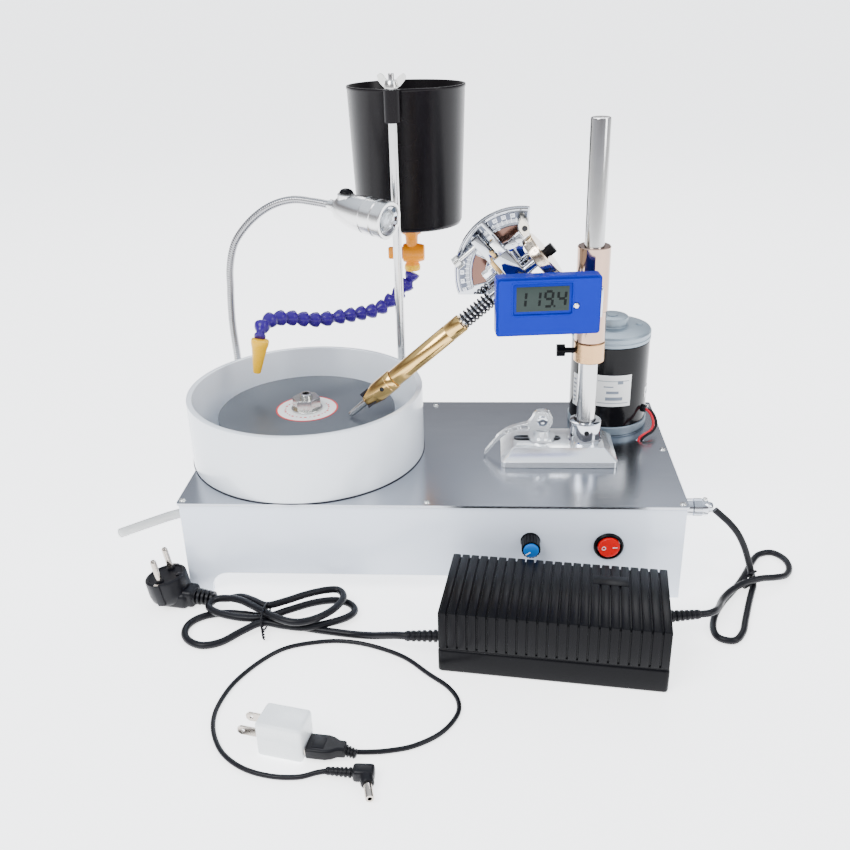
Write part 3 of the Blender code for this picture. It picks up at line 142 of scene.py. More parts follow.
# The mains lead from the adapter, through its tied turns, to the plug
MAINS_ROUTE = [(-13.7, -176, 17.8), (-20.5, -173.8, 16.5), (-30, -169, 12.5), (-41, -163, 7.5),
               (-55, -157, 3.6), (-72, -153.5, 3), (-90, -150, 3), (-108, -145, 3),
               (-124, -138, 3), (-140, -134, 3), (-158, -132, 3), (-172, -134, 3),
               (-182, -140, 3), (-187, -149, 3), (-186, -160, 3), (-179, -168.5, 3),
               (-168, -172.5, 3), (-155, -168, 3.2), (-141, -157, 5.5), (-127, -150.5, 8.4),
               (-110, -152, 7), (-94, -153, 6.5), (-76, -147, 6.5), (-63, -138, 5.5),
               (-58.5, -128, 4.5), (-64, -119.5, 5), (-76, -119, 7.5), (-92, -125, 9),
               (-110, -135, 9), (-126, -144.5, 8.9), (-140, -146, 8.9), (-154, -143.5, 8.9),
               (-166, -139, 9), (-174, -132.5, 9.2), (-172, -125, 10), (-163, -124.5, 12),
               (-148, -130, 14), (-128, -144, 14.7), (-112, -154, 14.6), (-98, -157, 14.2),
               (-84, -150, 13.4), (-73, -137, 12.6), (-68, -122, 12.2), (-73, -112, 12.4),
               (-84, -114, 13.5), (-98, -122, 14.8), (-112, -131, 15), (-126, -137, 14.8),
               (-138, -130, 14.2), (-150, -121.5, 11.5), (-161, -121.4, 9.4),
               (-171.4, -120.6, 8.6)]

# ---------------------------------------------------------------- frame
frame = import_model()
plate_low, plate_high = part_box("top_plate")
ORIGIN = Vector(((plate_low.x + plate_high.x) / 2, (plate_low.y + plate_high.y) / 2, 0.0))
TO_METRES = Matrix.Translation(ORIGIN) @ Matrix.Scale(MM, 4)
SCENE = bpy.context.scene.collection

X_AXIS = Matrix.Rotation(pi / 2, 4, "Y")          # turns local +Z to +X
FRONT_AXIS = Matrix.Rotation(pi / 2, 4, "X")      # turns local +Z to -Y


def at(x, y, z=0.0):
    """A move by x, y and z."""
    return Matrix.Translation((x, y, z))


def turn(angle, axis):
    """A turn in degrees about one axis."""
    return Matrix.Rotation(radians(angle), 4, axis)


def along(start, end):
    """A frame at start whose +Z points to end."""
    start, end = Vector(start), Vector(end)
    facing = (end - start).to_track_quat("Z", "Y")
    return Matrix.Translation(start) @ facing.to_matrix().to_4x4()


QUILL = at(*PIVOT) @ turn(90 - QUILL_SLOPE, "Y")
DISPLAY = (at(*DISPLAY_MIDDLE) @ turn(DISPLAY_TURN, "Z")
           @ at(-DISPLAY_MIDDLE[0], -DISPLAY_MIDDLE[1]))


def world(point):
    """A place in millimetres as a point of the model in metres."""
    return TO_METRES @ Vector(point)


# ---------------------------------------------------------------- materials
def make_material(name, colour, roughness, metallic=0.0, coat=0.0, grain=900, bump=0.04,
                  vary=0.05, stretch=(1, 1, 1), transmission=0.0, patches=60, specular=0.5,
                  glow=0.0):
    """A procedural finish: slow patches in colour and gloss, and a fine grain in relief."""
    mat = bpy.data.materials.new(name)
    mat.use_nodes = True
    nodes, links = mat.node_tree.nodes, mat.node_tree.links
    shader = nodes["Principled BSDF"]
    shader.inputs["Metallic"].default_value = metallic
    shader.inputs["Coat Weight"].default_value = coat
    shader.inputs["Coat Roughness"].default_value = 0.08
    shader.inputs["Transmission Weight"].default_value = transmission
    shader.inputs["Specular IOR Level"].default_value = specular
    shader.inputs["Emission Color"].default_value = (1.0, 1.0, 1.0, 1.0)
    shader.inputs["Emission Strength"].default_value = glow
    coords = nodes.new("ShaderNodeTexCoord")
    mapping = nodes.new("ShaderNodeMapping")
    mapping.inputs["Scale"].default_value = stretch
    links.new(coords.outputs["Object"], mapping.inputs["Vector"])
    slow = nodes.new("ShaderNodeTexNoise")
    slow.inputs["Scale"].default_value = patches
    slow.inputs["Detail"].default_value = 3.0
    links.new(coords.outputs["Object"], slow.inputs["Vector"])
    tint = nodes.new("ShaderNodeMix")
    tint.data_type = "RGBA"
    tint.inputs["A"].default_value = (*[c * (1 - vary) for c in colour], 1.0)
    tint.inputs["B"].default_value = (*[min(1.0, c * (1 + vary)) for c in colour], 1.0)
    links.new(slow.outputs["Fac"], tint.inputs["Factor"])
    links.new(tint.outputs["Result"], shader.inputs["Base Color"])
    fine = nodes.new("ShaderNodeTexNoise")
    fine.inputs["Scale"].default_value = grain
    fine.inputs["Detail"].default_value = 5.0
    links.new(mapping.outputs["Vector"], fine.inputs["Vector"])
    gloss = nodes.new("ShaderNodeMapRange")
    gloss.inputs["To Min"].default_value = roughness * 0.75
    gloss.inputs["To Max"].default_value = min(1.0, roughness * 1.25)
    links.new(fine.outputs["Fac"], gloss.inputs["Value"])
    links.new(gloss.outputs["Result"], shader.inputs["Roughness"])
    relief = nodes.new("ShaderNodeBump")
    relief.inputs["Strength"].default_value = bump
    relief.inputs["Distance"].default_value = 0.0002
    links.new(fine.outputs["Fac"], relief.inputs["Height"])
    links.new(relief.outputs["Normal"], shader.inputs["Normal"])
    return mat


ACRYLIC = make_material("acrylic", (0.80, 0.87, 0.99), 0.20, coat=0.3, bump=0.02, vary=0.02,
                        patches=12)
BRUSHED = make_material("brushed_plate", (0.46, 0.48, 0.52), 0.20, 1.0, grain=1100, bump=0.05,
                        vary=0.12, stretch=(0.03, 1, 1), patches=7)
WHITE_BASIN = make_material("white_basin", (0.88, 0.93, 1.0), 0.20, coat=0.5, bump=0.02,
                            vary=0.02, patches=15)
WHITE_PLASTIC = make_material("white_plastic", (0.94, 0.98, 1.0), 0.26, coat=0.3, bump=0.02,
                              vary=0.02)
SOCKET_GREY = make_material("socket_grey", (0.45, 0.46, 0.48), 0.4, bump=0.02)
PAPER = make_material("paper", (0.88, 0.88, 0.86), 0.5, bump=0.03, vary=0.02)
LABEL_RED = make_material("label_red", (0.70, 0.03, 0.03), 0.4, bump=0.02)
LABEL_INK = make_material("label_ink", (0.015, 0.015, 0.02), 0.5, bump=0.02, specular=0.2)
LABEL_GREY = make_material("label_grey", (0.22, 0.25, 0.30), 0.5, bump=0.02, specular=0.2)
LAP_GREY = make_material("lap_grey", (0.115, 0.13, 0.15), 0.40, 0.5, grain=2600, bump=0.30,
                         vary=0.12, patches=25)
ZINC = make_material("zinc", (0.72, 0.72, 0.69), 0.22, 1.0, bump=0.06, vary=0.10, patches=200)
STEEL = make_material("steel", (0.60, 0.60, 0.60), 0.16, 1.0, bump=0.05, vary=0.08,
                      stretch=(1, 1, 0.05))
CHROME = make_material("chrome", (0.56, 0.58, 0.62), 0.06, 1.0, bump=0.01, vary=0.10,
                       patches=160)
# Dark brown chrome for the sunk pocket floors: painted shade and painted brown reflection in the
# recesses
POCKET_PAINTED_SHADE = make_material("pocket_chrome_painted_shade", (0.16, 0.085, 0.065), 0.15, 0.9, bump=0.01, vary=0.15)
DARK_CHROME = make_material("dark_chrome", (0.10, 0.11, 0.14), 0.18, 1.0, bump=0.02, vary=0.3,
                            patches=180)
# Chrome given a light diffuse colour and less metal: painted white reflection, standing in for the
# bright light that the mast base, clamp stud, lever and yoke parts reflect
CHROME_PAINTED_WHITE = make_material("chrome_painted_white_reflection", (0.95, 0.97, 1.0), 0.22, 0.8, coat=0.2, bump=0.01,
                       vary=0.03)
CHAMPAGNE = make_material("champagne", (0.74, 0.62, 0.48), 0.13, 1.0, bump=0.02, vary=0.06)
CREAM = make_material("cream_nickel", (0.86, 0.80, 0.66), 0.25, 0.55, coat=0.2, bump=0.02,
                      vary=0.06)
BRASS = make_material("brass", (0.76, 0.49, 0.17), 0.17, 1.0, bump=0.04, vary=0.07,
                      patches=90, stretch=(1, 1, 0.3))
COLLAR_BRASS = make_material("collar_brass", (0.60, 0.36, 0.18), 0.26, 1.0, bump=0.03,
                             vary=0.06)
BRONZE = make_material("sleeve_bronze", (0.50, 0.34, 0.26), 0.10, 1.0, bump=0.02, vary=0.06)
TAN = make_material("tan_brass", (0.72, 0.47, 0.19), 0.35, 0.6, bump=0.05)
BLACK = make_material("black_plastic", (0.003, 0.003, 0.004), 0.30, bump=0.08, grain=2200,
                      vary=0.2, specular=0.09)
TANK_BLACK = make_material("tank_black", (0.004, 0.003, 0.004), 0.24, bump=0.03, vary=0.25,
                           patches=30, specular=0.13)
RUBBER = make_material("rubber", (0.004, 0.004, 0.006), 0.36, bump=0.04, vary=0.2,
                       specular=0.20)
MOTOR_BLACK = make_material("motor_black", (0.003, 0.003, 0.004), 0.14, bump=0.02, vary=0.2,
                            specular=0.16)
CASTING = make_material("casting", (0.27, 0.33, 0.38), 0.42, 0.6, grain=1500, bump=0.18,
                        vary=0.08)
BLACK_STEEL = make_material("black_steel", (0.012, 0.012, 0.014), 0.22, 0.4, bump=0.03,
                            specular=0.4)
BLUE = make_material("blue_plastic", (0.0, 0.014, 0.33), 0.34, bump=0.04, grain=1800,
                     vary=0.05, specular=0.10)
CAP_BLUE = make_material("cap_blue", (0.0, 0.15, 0.55), 0.35, bump=0.03, specular=0.3)
RED = make_material("red_plastic", (0.70, 0.006, 0.006), 0.22, bump=0.02, specular=0.35)
LEAD_RED = make_material("lead_red", (0.65, 0.01, 0.03), 0.35, bump=0.02, specular=0.3)
ORANGE = make_material("orange_plastic", (0.90, 0.30, 0.0), 0.28, bump=0.03, specular=0.35)
YELLOW = make_material("yellow_plastic", (0.95, 0.52, 0.0), 0.28, bump=0.03, specular=0.35)
HOSE_BLUE = make_material("hose_blue", (0.03, 0.006, 0.19), 0.24, bump=0.02, vary=0.08,
                          specular=0.3)
SATIN = make_material("satin_aluminium", (0.78, 0.78, 0.77), 0.24, 1.0, grain=1400, bump=0.08,
                      vary=0.05, stretch=(1, 1, 0.2))
NECK_STEEL = make_material("neck_steel", (0.34, 0.34, 0.35), 0.24, 1.0, bump=0.03, vary=0.08)
GLASS = make_material("lens", (0.95, 0.98, 1.0), 0.03, transmission=0.85, bump=0.0, vary=0.01)
CLEAR = make_material("clear_vinyl", (0.80, 0.81, 0.80), 0.14, transmission=0.45, bump=0.03,
                      vary=0.02)
LCD_GREEN = make_material("lcd_glass", (0.028, 0.040, 0.036), 0.15, bump=0.0, vary=0.05,
                          specular=0.12)
LCD_INK = make_material("lcd_ink", (0.002, 0.004, 0.004), 0.3, bump=0.0, specular=0.1)
LIGHT_INK = make_material("light_ink", (0.80, 0.82, 0.85), 0.4, bump=0.0)
SEAM = make_material("seam", (0.03, 0.03, 0.04), 0.5, bump=0.0, specular=0.2)
NICKEL = make_material("nickel", (0.50, 0.45, 0.40), 0.15, 1.0, bump=0.03)


# ---------------------------------------------------------------- mesh helpers
def finish_mesh(name, bm, mat, body, frame_matrix=None, bevel=None, nodes=(), slot=None,
                angle=35):
    """Turn a bmesh in millimetres into a piece that rides on a body."""
    bmesh.ops.recalc_face_normals(bm, faces=bm.faces)
    mesh = bpy.data.meshes.new(name)
    bm.to_mesh(mesh)
    bm.free()
    matrix = TO_METRES if frame_matrix is None else TO_METRES @ frame_matrix
    mesh.transform(matrix)
    mesh.materials.append(mat)
    mesh.shade_smooth()
    mesh.set_sharp_from_angle(angle=radians(angle))
    piece = bpy.data.objects.new(name, mesh)
    SCENE.objects.link(piece)
    if bevel:
        rounding = piece.modifiers.new("edges", "BEVEL")
        rounding.width = bevel * MM
        rounding.segments = 3
        rounding.limit_method = "ANGLE"
        rounding.angle_limit = radians(40)
        rounding.harden_normals = False
    if body:
        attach(piece, body)
    if nodes:
        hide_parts(*nodes)
    return piece


def add_lathe(bm, profile, steps=64, frame_matrix=None):
    """Turn (radius, height) pairs about Z; the profile starts and ends on the axis or closes."""
    rings = []
    for radius, height in profile:
        if radius < 1e-6:
            rings.append([bm.verts.new((0, 0, height))])
        else:
            rings.append([bm.verts.new((radius * cos(2 * pi * i / steps),
                                        radius * sin(2 * pi * i / steps), height))
                          for i in range(steps)])
    pairs = list(zip(rings, rings[1:]))
    if profile[0][0] > 1e-6:
        pairs.append((rings[-1], rings[0]))
    for upper, lower in pairs:
        for i in range(steps):
            j = (i + 1) % steps
            if len(upper) == 1 and len(lower) == 1:
                continue
            if len(upper) == 1:
                bm.faces.new((upper[0], lower[i], lower[j]))
            elif len(lower) == 1:
                bm.faces.new((upper[i], lower[0], upper[j]))
            else:
                bm.faces.new((upper[i], lower[i], lower[j], upper[j]))
    if frame_matrix is not None:
        verts = [v for ring in rings for v in ring]
        bmesh.ops.transform(bm, matrix=frame_matrix, verts=verts)


def add_box(bm, low, high, frame_matrix=None, bevel=0.0, segments=2):
    """A box between two corners, with its edges rounded where a bevel is given."""
    low, high = Vector(low), Vector(high)
    made = bmesh.ops.create_cube(bm, size=1.0)["verts"]
    bmesh.ops.scale(bm, vec=high - low, verts=made)
    bmesh.ops.translate(bm, vec=(high + low) / 2, verts=made)
    if bevel:
        edges = list({e for v in made for e in v.link_edges})
        out = bmesh.ops.bevel(bm, geom=edges, offset=bevel, segments=segments, affect="EDGES",
                              profile=0.5)
        made = list({v for f in out["faces"] for v in f.verts} | {v for v in made if v.is_valid})
    if frame_matrix is not None:
        bmesh.ops.transform(bm, matrix=frame_matrix, verts=made)


def add_outline(bm, loops, low, high, frame_matrix=None):
    """A flat plate between two heights, from closed loops; the loops after the first are holes."""
    edges, verts = [], []
    for loop in loops:
        ring = [bm.verts.new((x, y, low)) for x, y in loop]
        verts += ring
        edges += [bm.edges.new((a, b)) for a, b in zip(ring, ring[1:] + ring[:1])]
    filled = bmesh.ops.triangle_fill(bm, use_beauty=True, use_dissolve=False, edges=edges)
    faces = [f for f in filled["geom"] if isinstance(f, bmesh.types.BMFace)]
    raised = bmesh.ops.extrude_face_region(bm, geom=faces)
    top = [v for v in raised["geom"] if isinstance(v, bmesh.types.BMVert)]
    bmesh.ops.translate(bm, vec=(0, 0, high - low), verts=top)
    if frame_matrix is not None:
        bmesh.ops.transform(bm, matrix=frame_matrix, verts=verts + top)


def add_tube(bm, points, radii, sides=16, cap=True):
    """Sweep a circle along points; radii is one number or one for each point."""
    points = [Vector(p) for p in points]
    if not hasattr(radii, "__len__"):
        radii = [radii] * len(points)
    tangents = []
    for i in range(len(points)):
        ahead = points[min(i + 1, len(points) - 1)] - points[max(i - 1, 0)]
        tangents.append(ahead.normalized())
    normal = tangents[0].orthogonal().normalized()
    rings = []
    for point, tangent, radius in zip(points, tangents, radii):
        normal = (normal - tangent * normal.dot(tangent)).normalized()
        side = tangent.cross(normal)
        rings.append([bm.verts.new(point + (normal * cos(2 * pi * i / sides)
                                            + side * sin(2 * pi * i / sides)) * radius)
                      for i in range(sides)])
    for first, second in zip(rings, rings[1:]):
        for i in range(sides):
            j = (i + 1) % sides
            bm.faces.new((first[i], first[j], second[j], second[i]))
    if cap:
        bm.faces.new(rings[0][::-1])
        bm.faces.new(rings[-1])


def smooth_route(points, spacing):
    """Points a set distance apart along a smooth curve through the route's own points."""
    nodes = [Vector(p) for p in points]
    nodes = [nodes[0] * 2 - nodes[1]] + nodes + [nodes[-1] * 2 - nodes[-2]]
    fine = []
    for a, b, c, d in zip(nodes, nodes[1:], nodes[2:], nodes[3:]):
        for step in range(16):
            t = step / 16
            fine.append(0.5 * ((2 * b) + (c - a) * t + (2 * a - 5 * b + 4 * c - d) * t * t
                               + (3 * b - a - 3 * c + d) * t * t * t))
    fine.append(nodes[-2])
    length = sum((q - p).length for p, q in zip(fine, fine[1:]))
    count = max(2, ceil(length / spacing))
    route = [fine[0]]
    travelled, target = 0.0, length / count
    for p, q in zip(fine, fine[1:]):
        piece = (q - p).length
        while travelled + piece >= target - 1e-9 and len(route) < count:
            route.append(p.lerp(q, (target - travelled) / piece))
            target += length / count
        travelled += piece
    route.append(fine[-1])
    return route


def route_length(points):
    """The length of a line through a list of points."""
    return sum((Vector(q) - Vector(p)).length for p, q in zip(points, points[1:]))


def arc(cx, cy, radius, start, end, count):
    """Points along an arc, with its angles in degrees."""
    angles = [radians(start + (end - start) * i / (count - 1)) for i in range(count)]
    return [(cx + radius * cos(a), cy + radius * sin(a)) for a in angles]


def circle(cx, cy, radius, count=32):
    """Points round a whole circle."""
    return arc(cx, cy, radius, 0, 360 - 360 / count, count)


def lathe_piece(name, profile, mat, body, frame_matrix=None, steps=64, **options):
    """One turned piece from its outer and inner profile."""
    bm = bmesh.new()
    add_lathe(bm, profile, steps)
    return finish_mesh(name, bm, mat, body, frame_matrix, **options)


def box_piece(name, low, high, mat, body, frame_matrix=None, bevel=0.6, **options):
    """One box piece between two corners."""
    bm = bmesh.new()
    add_box(bm, low, high, None, bevel)
    return finish_mesh(name, bm, mat, body, frame_matrix, **options)


def text_piece(name, words, size, mat, body, frame_matrix, depth=0.08):
    """Raised plain lettering, centred on its frame and facing its +Z."""
    curve = bpy.data.curves.new(name + "_words", "FONT")
    curve.body = words
    curve.size = size
    curve.extrude = depth
    curve.align_x = "CENTER"
    curve.align_y = "CENTER"
    curve.resolution_u = 3
    source = bpy.data.objects.new(name + "_words", curve)
    mesh = bpy.data.meshes.new_from_object(source)
    bpy.data.objects.remove(source, do_unlink=True)
    bm = bmesh.new()
    bm.from_mesh(mesh)
    bpy.data.meshes.remove(mesh)
    return finish_mesh(name, bm, mat, body, frame_matrix)


def paint(node, mat):
    """Give a CAD node that keeps its shape its finish."""
    obj = frame["nodes"][node]
    for slot in obj.material_slots:
        slot.link = "DATA"
        slot.material = mat
    obj.data.shade_smooth()
    obj.data.set_sharp_from_angle(angle=radians(30))


# ---------------------------------------------------------------- camera, light and bench
def set_camera():
    """The one camera, level with a person who looks down at the bench."""
    yaw, pitch, roll = radians(CAMERA_YAW), radians(CAMERA_PITCH), radians(CAMERA_ROLL)
    forward = Vector((sin(yaw) * cos(pitch), cos(yaw) * cos(pitch), -sin(pitch)))
    level = Vector((cos(yaw), -sin(yaw), 0.0))
    above = level.cross(forward)
    right = level * cos(roll) + above * sin(roll)
    up = -level * sin(roll) + above * cos(roll)
    turned = Matrix((right, up, -forward)).transposed().to_4x4()
    data = bpy.data.cameras.new("camera")
    data.lens = CAMERA_LENS
    data.sensor_width = 36.0
    data.clip_start = 0.01
    camera = bpy.data.objects.new("camera", data)
    camera.matrix_world = Matrix.Translation(world(CAMERA_PLACE)) @ turned
    SCENE.objects.link(camera)
    bpy.context.scene.camera = camera


def add_area_light(name, place, target, size, power, colour=(1, 1, 1)):
    """A rectangular lamp at a place, aimed at another."""
    data = bpy.data.lights.new(name, "AREA")
    data.shape = "RECTANGLE"
    data.size, data.size_y = size
    data.energy = power
    data.color = colour
    light = bpy.data.objects.new(name, data)
    light.matrix_world = (Matrix.Translation(place)
                          @ (Vector(target) - Vector(place)).to_track_quat("-Z", "Y")
                          .to_matrix().to_4x4())
    SCENE.objects.link(light)


def set_studio():
    """A room that is bright all round at bench height, with darker and lighter walls above."""
    sky = bpy.data.worlds.new("studio")
    sky.use_nodes = True
    nodes, links = sky.node_tree.nodes, sky.node_tree.links
    background = nodes["Background"]
    coords = nodes.new("ShaderNodeTexCoord")
    split = nodes.new("ShaderNodeSeparateXYZ")
    rise = nodes.new("ShaderNodeMapRange")
    rise.inputs["From Min"].default_value = -1.0
    ramp = nodes.new("ShaderNodeValToRGB")
    stops = ramp.color_ramp.elements
    stops[0].position, stops[0].color = 0.0, (1.0, 1.0, 1.0, 1.0)
    stops[1].position, stops[1].color = 1.0, (1.25, 1.35, 1.5, 1.0)
    for place, colour in ((0.53, (1.0, 1.0, 1.0)), (0.60, (0.55, 0.56, 0.62)),
                          (0.66, (0.19, 0.165, 0.16)), (0.705, (0.20, 0.175, 0.17)),
                          (0.74, (0.58, 0.64, 0.74)), (0.90, (0.95, 1.03, 1.15))):
        stop = stops.new(place)
        stop.color = (*colour, 1.0)
    links.new(coords.outputs["Generated"], split.inputs["Vector"])
    links.new(split.outputs["Z"], rise.inputs["Value"])
    links.new(rise.outputs["Result"], ramp.inputs["Fac"])
    links.new(ramp.outputs["Color"], background.inputs["Color"])
    background.inputs["Strength"].default_value = 1.15
    bpy.context.scene.world = sky
    add_area_light("key", (-0.8, -1.1, 1.5), (0, 0, 0.10), (1.0, 0.8), 30)
    add_area_light("fill", (1.3, -0.7, 1.0), (0.05, 0, 0.12), (0.5, 1.0), 11)
    add_area_light("back", (0.1, 1.2, 1.4), (0, 0, 0.15), (1.3, 0.4), 12)
    floor_mat = make_material("bench", (0.94, 0.94, 0.95), 0.6, bump=0.0, vary=0.01,
                              specular=0.1, glow=2.3)
    bm = bmesh.new()
    bmesh.ops.create_grid(bm, x_segments=1, y_segments=1, size=150000)
    floor = finish_mesh("bench_top", bm, floor_mat, None, at(0, 0, -0.05))


# ---------------------------------------------------------------- cords
def cord_piece(name, route, radius, mat, spacing, nodes, sides=14):
    """A tube along a smoothed route, returned with the points of its centreline."""
    bm = bmesh.new()
    points = smooth_route(route, spacing)
    add_tube(bm, points, radius, sides)
    piece = finish_mesh(name, bm, mat, "machine", nodes=nodes)
    return piece, points


def ribbed_relief(bm, start, end, wide, narrow, rings, cord_radius):
    """A strain relief: separate rings that taper along a flexible core."""
    local = along(start, end)
    length = (Vector(end) - Vector(start)).length
    profile = [(0.0, length), (cord_radius + 0.5, length)]
    pitch = length / rings
    for i in reversed(range(rings)):
        outer = wide + (narrow - wide) * (i + 0.5) / rings
        top = pitch * (i + 0.72)
        bottom = pitch * (i + 0.08)
        neck = cord_radius + 0.7
        profile += [(neck, top + 0.05), (outer - 0.35, top), (outer, top - 0.35),
                    (outer, bottom + 0.35), (outer - 0.35, bottom), (neck, bottom - 0.05)]
    profile += [(cord_radius + 0.7, 0.0), (0.0, 0.0)]
    add_lathe(bm, profile, 24, local)


def zip_tie(name, centre, direction, size, tail):
    """A cable tie: a flat band round the cords, its locking head and its cut tail."""
    bm = bmesh.new()
    wide, tall = size
    local = along(centre, Vector(centre) + Vector(direction))
    outer = rounded_loop(wide / 2 + 0.9, tall / 2 + 0.9, 2.4)
    inner = rounded_loop(wide / 2, tall / 2, 1.8)
    add_outline(bm, [outer, inner], -1.3, 1.3, local)
    add_box(bm, (wide / 2 - 1.5, tall / 2 - 0.6, -2.0), (wide / 2 + 2.5, tall / 2 + 2.4, 2.0),
            local, 0.4)
    add_box(bm, (wide / 2, tall / 2 + 0.4, -1.1), (wide / 2 + tail, tall / 2 + 1.4, 1.1),
            local, 0.2)
    return finish_mesh(name, bm, RUBBER, "machine")


def twist_tie(name, centre, half_wide, half_tall):
    """A thin twist tie round a bundle that runs along X, its two ends wound together."""
    x, y, z = centre
    ring = [(x + 0.8 * cos(a), y + half_wide * cos(a), z + half_tall * sin(a))
            for a in (2 * pi * i / 40 for i in range(40))]
    bm = bmesh.new()
    add_tube(bm, ring + ring[:1], 0.75, 10)
    for turn_start in (0, pi):
        strand = [(x + 0.8 * cos(turn_start + i * 0.7) + i * 0.12, y - half_wide - 0.4 - i * 0.35,
                   z + 0.9 * sin(turn_start + i * 0.7) - i * 0.28) for i in range(22)]
        add_tube(bm, strand, 0.65, 8)
    return finish_mesh(name, bm, RUBBER, "machine")


def rounded_loop(half_x, half_y, radius):
    """A rectangle with rounded corners, round the origin."""
    return (arc(half_x - radius, -half_y + radius, radius, -90, 0, 5)
            + arc(half_x - radius, half_y - radius, radius, 0, 90, 5)
            + arc(-half_x + radius, half_y - radius, radius, 90, 180, 5)
            + arc(-half_x + radius, -half_y + radius, radius, 180, 270, 5))


def build_cords():
    """Every free cord with what is on its ends."""
    adapter = build_adapter()
    plug = build_mains_plug()
    inlet = build_dc_plug()
    charger = build_charger()
    jack = build_jack()
    dc, points = cord_piece("dc_lead", DC_ROUTE, DC_RADIUS, RUBBER, 2.5, ["dc_cable"])
    tie = zip_tie("dc_tie", (255.5, -83.5, 6.3), (0.62, -0.75, 0), (8, 9.5), 7)
    mains, points = cord_piece("mains_cord", MAINS_ROUTE, MAINS_RADIUS, RUBBER, 2.6,
                               ["mains_lead", "mains_hank"])
    mains_tie = twist_tie("mains_tie", (-126, -143.5, 9.2), 12.5, 9.3)
    usb, points = cord_piece("lamp_lead", USB_ROUTE, USB_RADIUS, RUBBER, 2.0, ["usb_lead"], 12)
    drain = build_drain()
    return adapter, drain


def build_drain():
    """The clear drain hose at the left side."""
    points = smooth_route(DRAIN_ROUTE, 1.5)
    bm = bmesh.new()
    add_tube(bm, points, 4.0, 20, cap=False)
    edge = len(bm.verts)
    add_tube(bm, points, 2.8, 20, cap=False)
    bm.verts.ensure_lookup_table()
    outer = [bm.verts[i] for i in range(edge)]
    inner = [bm.verts[i] for i in range(edge, 2 * edge)]
    for start in (0, edge - 20):
        for i in range(20):
            j = (i + 1) % 20
            bm.faces.new((outer[start + i], outer[start + j], inner[start + j],
                          inner[start + i]))
    hose = finish_mesh("drain_tube", bm, CLEAR, "machine", nodes=["drain_hose"])
    return hose


def build_adapter():
    """The power adapter: two shells, a grooved lid and ribbed strain reliefs."""
    turned = at(*ADAPTER_CENTRE) @ turn(ADAPTER_TURN, "Z")
    x, y, z = ADAPTER_SIZE[0] / 2, ADAPTER_SIZE[1] / 2, ADAPTER_SIZE[2]
    split = 20.5
    bm = bmesh.new()
    add_box(bm, (-x, -y, 0), (x, y, split), None, 2.6, 3)
    add_box(bm, (-x + 0.9, -y + 0.9, split - 1.0), (x - 0.9, y - 0.9, split + 1.2), None, 0.3)
    add_box(bm, (-x + 1.0, -y + 1.0, split + 0.7), (x - 1.0, y - 1.0, z - 1.2), None, 2.4, 3)
    ribs = 23
    pitch = (2 * x) / ribs
    for i in range(ribs):
        left = -x + i * pitch
        add_box(bm, (left + 0.55, -y, split + 0.7), (left + pitch - 0.55, y, z), None, 0.8, 2)
    body = finish_mesh("adapter_case", bm, BLACK, "machine", turned, nodes=["power_adapter"])
    bm = bmesh.new()
    ribbed_relief(bm, (13.5, -175.5, 18), (-14.6, -176.1, 17.9), 5.0, 3.9, 7, 2.9)
    ribbed_relief(bm, (174.0, -151.5, 20), (204.0, -147.2, 20), 5.0, 3.6, 8, 2.7)
    finish_mesh("adapter_reliefs", bm, RUBBER, "machine", nodes=["power_adapter"])
    bm = bmesh.new()
    add_box(bm, (26, 12, z - 0.2), (52, 24, z + 0.12), None, 0.1)
    finish_mesh("adapter_badge", bm, BLACK, "machine", turned)
    return body


def build_mains_plug():
    """The angled mains plug, lying on its back and leaning a little."""
    turned = at(*PLUG_CENTRE) @ turn(PLUG_TURN, "Z")
    lean = turned @ turn(-PLUG_LEAN, "Y")
    bm = bmesh.new()
    add_lathe(bm, [(0, 25.2), (13.8, 25.2), (14.3, 26.0), (15.6, 26.0), (16.5, 25.4),
                   (16.8, 24.4), (16.9, 12.5), (15.8, 7.5), (13.6, 4.6), (12.8, 4.2), (0, 4.2)],
              64, lean)
    add_box(bm, (-12.0, -11.5, 0.4), (17.0, 10.5, 15.0), turned, 4.5, 4)
    add_box(bm, (4.0, -9.0, 1.0), (22.0, 8.0, 16.5), turned, 4.0, 4)
    for side in (-1, 1):
        add_box(bm, (-3.4, side * 16.4 - 1.2, 7.0), (3.4, side * 16.4 + 1.2, 25.6), lean, 0.8)
    plug = finish_mesh("plug_body", bm, RUBBER, "machine", nodes=["mains_plug"])
    bm = bmesh.new()
    ribbed_relief(bm, (19.5, -1, 8.8), (37.6, -1, 8.6), 7.2, 5.6, 5, 2.9)
    finish_mesh("plug_strain", bm, RUBBER, "machine", turned, nodes=["mains_plug"])
    bm = bmesh.new()
    for y in (-9.5, 9.5):
        add_lathe(bm, [(0, 45.0), (1.5, 44.9), (2.2, 44.0), (2.4, 42.8), (2.4, 20), (0, 20)],
                  24, lean @ at(0, y))
    finish_mesh("plug_pins", bm, NICKEL, "machine", nodes=["mains_plug"])
    bm = bmesh.new()
    for y in (-9.5, 9.5):
        add_lathe(bm, [(0, 27.6), (2.9, 27.4), (3.2, 26.8), (3.2, 24.8), (0, 24.8)], 24,
                  lean @ at(0, y))
    add_box(bm, (10.2, -2.0, 24.9), (14.6, 2.0, 26.3), lean, 0.4)
    finish_mesh("plug_sleeves", bm, RUBBER, "machine", nodes=["mains_plug"])
    bm = bmesh.new()
    for side in (-1, 1):
        add_box(bm, (-2.0, side * 15.4 - 1.0, 25.0), (2.0, side * 15.4 + 1.0, 26.3), lean, 0.3)
    finish_mesh("plug_earth", bm, NICKEL, "machine")
    return plug


